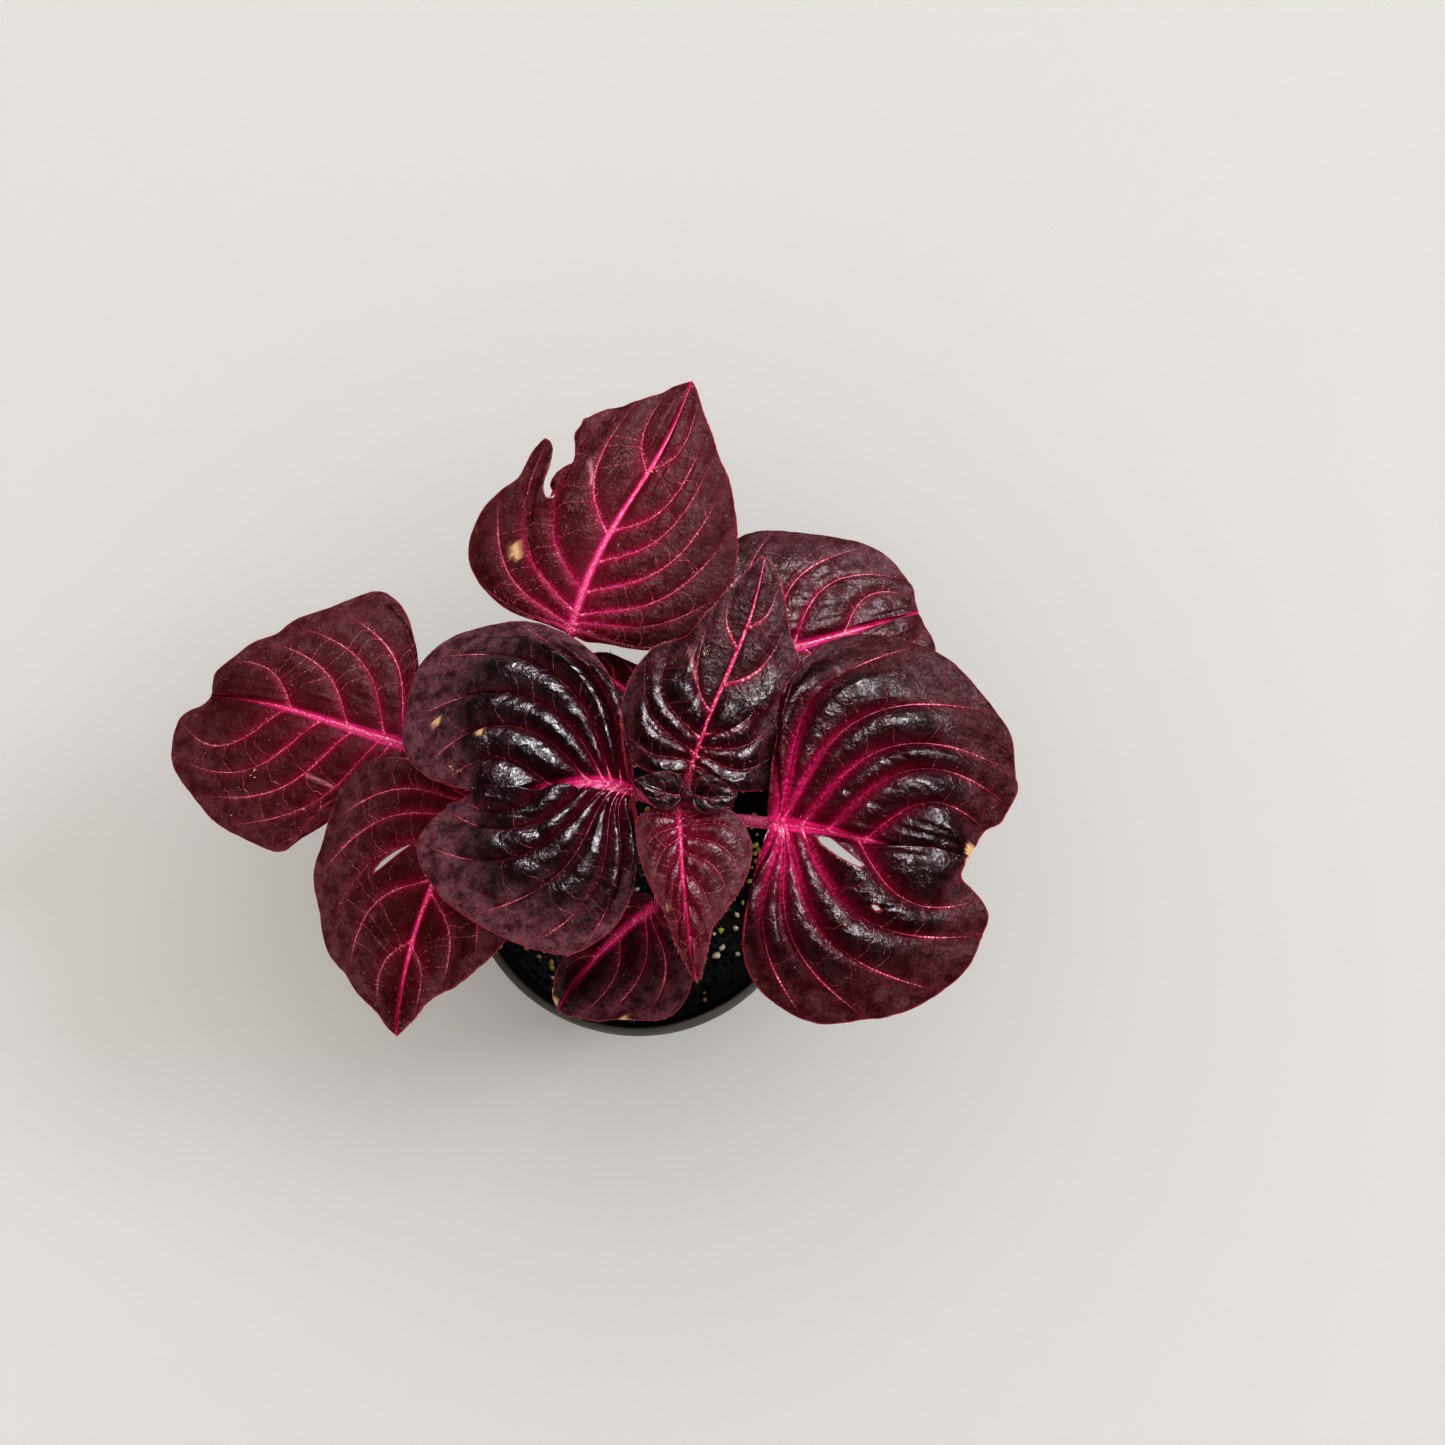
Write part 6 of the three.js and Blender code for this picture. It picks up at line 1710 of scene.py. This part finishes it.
class BLOODLEAF_OT_shoot_tip(bpy.types.Operator):
    """Grows the bud at the top of the main stem, between its two youngest leaves"""
    bl_idname = "bloodleaf.shoot_tip"
    bl_label = "Shoot tip"

    def execute(self, context):
        settings = context.scene.bloodleaf_leaf
        tip = Shape()
        for seed, leaf in enumerate(YOUNG_LEAVES, start=YOUNG_LEAF_SEED):
            add_leaf(tip, leaf, settings, seed)
        bend = np.linspace(-np.pi / 2, np.pi / 2, 17)
        points, faces = lathe(np.column_stack([np.cos(bend), np.sin(bend)]), BUD_SIDES)
        turn = np.arctan2(points[:, 1], points[:, 0])
        scales = 1 + 0.08 * np.cos(4 * turn + 3 * points[:, 2])
        points = points * BUD_RADII * scales[:, None] + BUD_CENTRE
        tip.add(points, faces, cord=0.05, edge=5, redness=0.1, bloom=0.3, band=0.5, gloss=0.9,
                s=points[:, 0], t=points[:, 1])
        tip.piece("young_leaves_and_bud", leaf_material("young bloodleaf blade", settings, 0.2),
                  "young_leaf", ["shoot_tip"])
        return {"FINISHED"}


class BLOODLEAF_OT_hairs(bpy.types.Operator):
    """Sets short pale hairs along the veins and margins, and lays the bits of husk"""
    bl_idname = "bloodleaf.hairs"
    bl_label = "Hairs and husks"

    def execute(self, context):
        settings = context.scene.bloodleaf_leaf
        rng = np.random.default_rng(HAIR_SEED)
        total = sum(leaf["length"] ** 2 for leaf in LEAVES.values())
        grown, husks = [], []
        for seed, leaf in enumerate(LEAVES.values(), start=LEAF_SEED):
            count = int(settings.hairs * leaf["length"] ** 2 / total / 2)
            for half in halves(leaf, seed):
                grown.append(self.half_hairs(rng, half, count, settings))
                husks += [(*self.spot(half, s, t), size) for s, t, size in leaf["flecks"]
                          if np.sign(t) == half.sign]
        roots, leans, lengths = (np.concatenate(values) for values in zip(*grown))
        side = unit(np.cross(leans, (0.31, 0.47, 0.83)))
        other = np.cross(leans, side)
        turn = full_turn(3)[:, None]
        ring = side[:, None] * np.cos(turn) + other[:, None] * np.sin(turn)
        tips = roots + leans * lengths[:, None]
        points = np.concatenate([roots[:, None] + ring * HAIR_RADIUS, tips[:, None]], axis=1)
        faces = copied([(0, 1, 3), (1, 2, 3), (2, 0, 3), (2, 1, 0)], len(points), 4)
        hairs = Shape()
        hairs.add(points, faces, tone=np.repeat(rng.uniform(0, 1, len(points)), 4))
        hairs.piece("leaf_hairs", hair_material(), "leaf")

        husks = np.array(husks)
        sizes = husks[:, 3]
        scatter = np.stack([rng.normal(0, 0.35 * size, (5, 3)) for size in sizes])
        centres = (husks[:, None, :3] + scatter * [1, 1, 0.15]).reshape(-1, 3)
        radii = np.repeat(sizes, 5)[:, None] * rng.uniform(0.12, 0.42, (len(centres), 3))
        bits = Shape()
        bits.add(*lumps(centres, radii * (1, 0.6, 0.35), HUSK_SEED, 0.3))
        bits.piece("husk_bits", husk_material(), "leaf")
        return {"FINISHED"}

    def half_hairs(self, rng, half, count, settings):
        """Roots, directions and lengths of the hairs on half a blade: most stand on the side
        veins, some between them, and some point outwards from the margin."""
        kind = rng.uniform(size=count)
        on_vein = rng.integers(1, half.bands, count) + rng.normal(0, 0.02, count)
        row = np.where(kind < HAIRS_ON_VEINS, on_vein, rng.uniform(0.05, half.bands - 0.05, count))
        row = np.clip(row, 0.02, half.bands - 0.02)
        inner = rng.uniform(0.02, 0.85, count)
        column = np.where(kind < HAIRS_ON_VEINS, inner, rng.uniform(0.05, 0.98, count))
        on_edge = kind > HAIRS_ON_MARGIN
        column = np.where(on_edge, 0.995, column)
        keep = ~half.in_cuts(row[:, None], column[:, None])
        row, column, on_edge = row[keep], column[keep], on_edge[keep, None]
        place, normal = half.place(row, column)
        outward = unit(place - half.place(row, column - 0.03)[0])
        tilt = rng.normal(0, 0.45, place.shape)
        lean = unit(np.where(on_edge, outward + 0.3 * normal, normal) + tilt)
        sunk = settings.thickness / MM / 2 - 0.06
        lengths = settings.hair_length / MM * rng.uniform(0.35, 1.0, len(place))
        return place + normal * sunk * ~on_edge, lean, lengths

    def spot(self, half, s, t):
        """The place on the upper face nearest to a flat place, looked up on a grid."""
        rows, columns = np.meshgrid(np.linspace(0.02, half.bands - 0.02, 90),
                                    np.linspace(0.02, 0.99, 60), indexing="ij")
        nearest = np.linalg.norm(half.flat(rows, columns) - (s, t), axis=-1).argmin()
        place, normal = half.place(rows.ravel()[nearest], columns.ravel()[nearest])
        return place + normal * 0.3


class VIEW3D_PT_bloodleaf(bpy.types.Panel):
    """Lists the parts of the plant and their settings"""
    bl_idname = "VIEW3D_PT_bloodleaf"
    bl_label = "Potted bloodleaf"
    bl_space_type = "VIEW_3D"
    bl_region_type = "UI"
    bl_category = "Bloodleaf"

    def draw(self, context):
        layout = self.layout
        for operator in OPERATORS:
            layout.operator(operator.bl_idname)
        for key, group in SETTINGS.items():
            box = layout.box()
            box.label(text=group.__name__.replace("Settings", ""))
            for name in group.__annotations__:
                box.prop(getattr(context.scene, key), name)


OPERATORS = (
    BLOODLEAF_OT_stage,
    BLOODLEAF_OT_pot,
    BLOODLEAF_OT_soil,
    BLOODLEAF_OT_stems,
    BLOODLEAF_OT_leaves,
    BLOODLEAF_OT_shoot_tip,
    BLOODLEAF_OT_hairs,
)
CLASSES = (*SETTINGS.values(), *OPERATORS, VIEW3D_PT_bloodleaf)


def register():
    for item in CLASSES:
        bpy.utils.register_class(item)
    for key, group in SETTINGS.items():
        setattr(bpy.types.Scene, key, PointerProperty(type=group))


def unregister():
    for key in SETTINGS:
        delattr(bpy.types.Scene, key)
    for item in reversed(CLASSES):
        bpy.utils.unregister_class(item)


def main():
    register()
    bpy.ops.bloodleaf.stage()
    bpy.ops.bloodleaf.pot()
    bpy.ops.bloodleaf.soil()
    bpy.ops.bloodleaf.stems()
    bpy.ops.bloodleaf.leaves()
    bpy.ops.bloodleaf.shoot_tip()
    bpy.ops.bloodleaf.hairs()


if __name__ == "__main__":
    main()
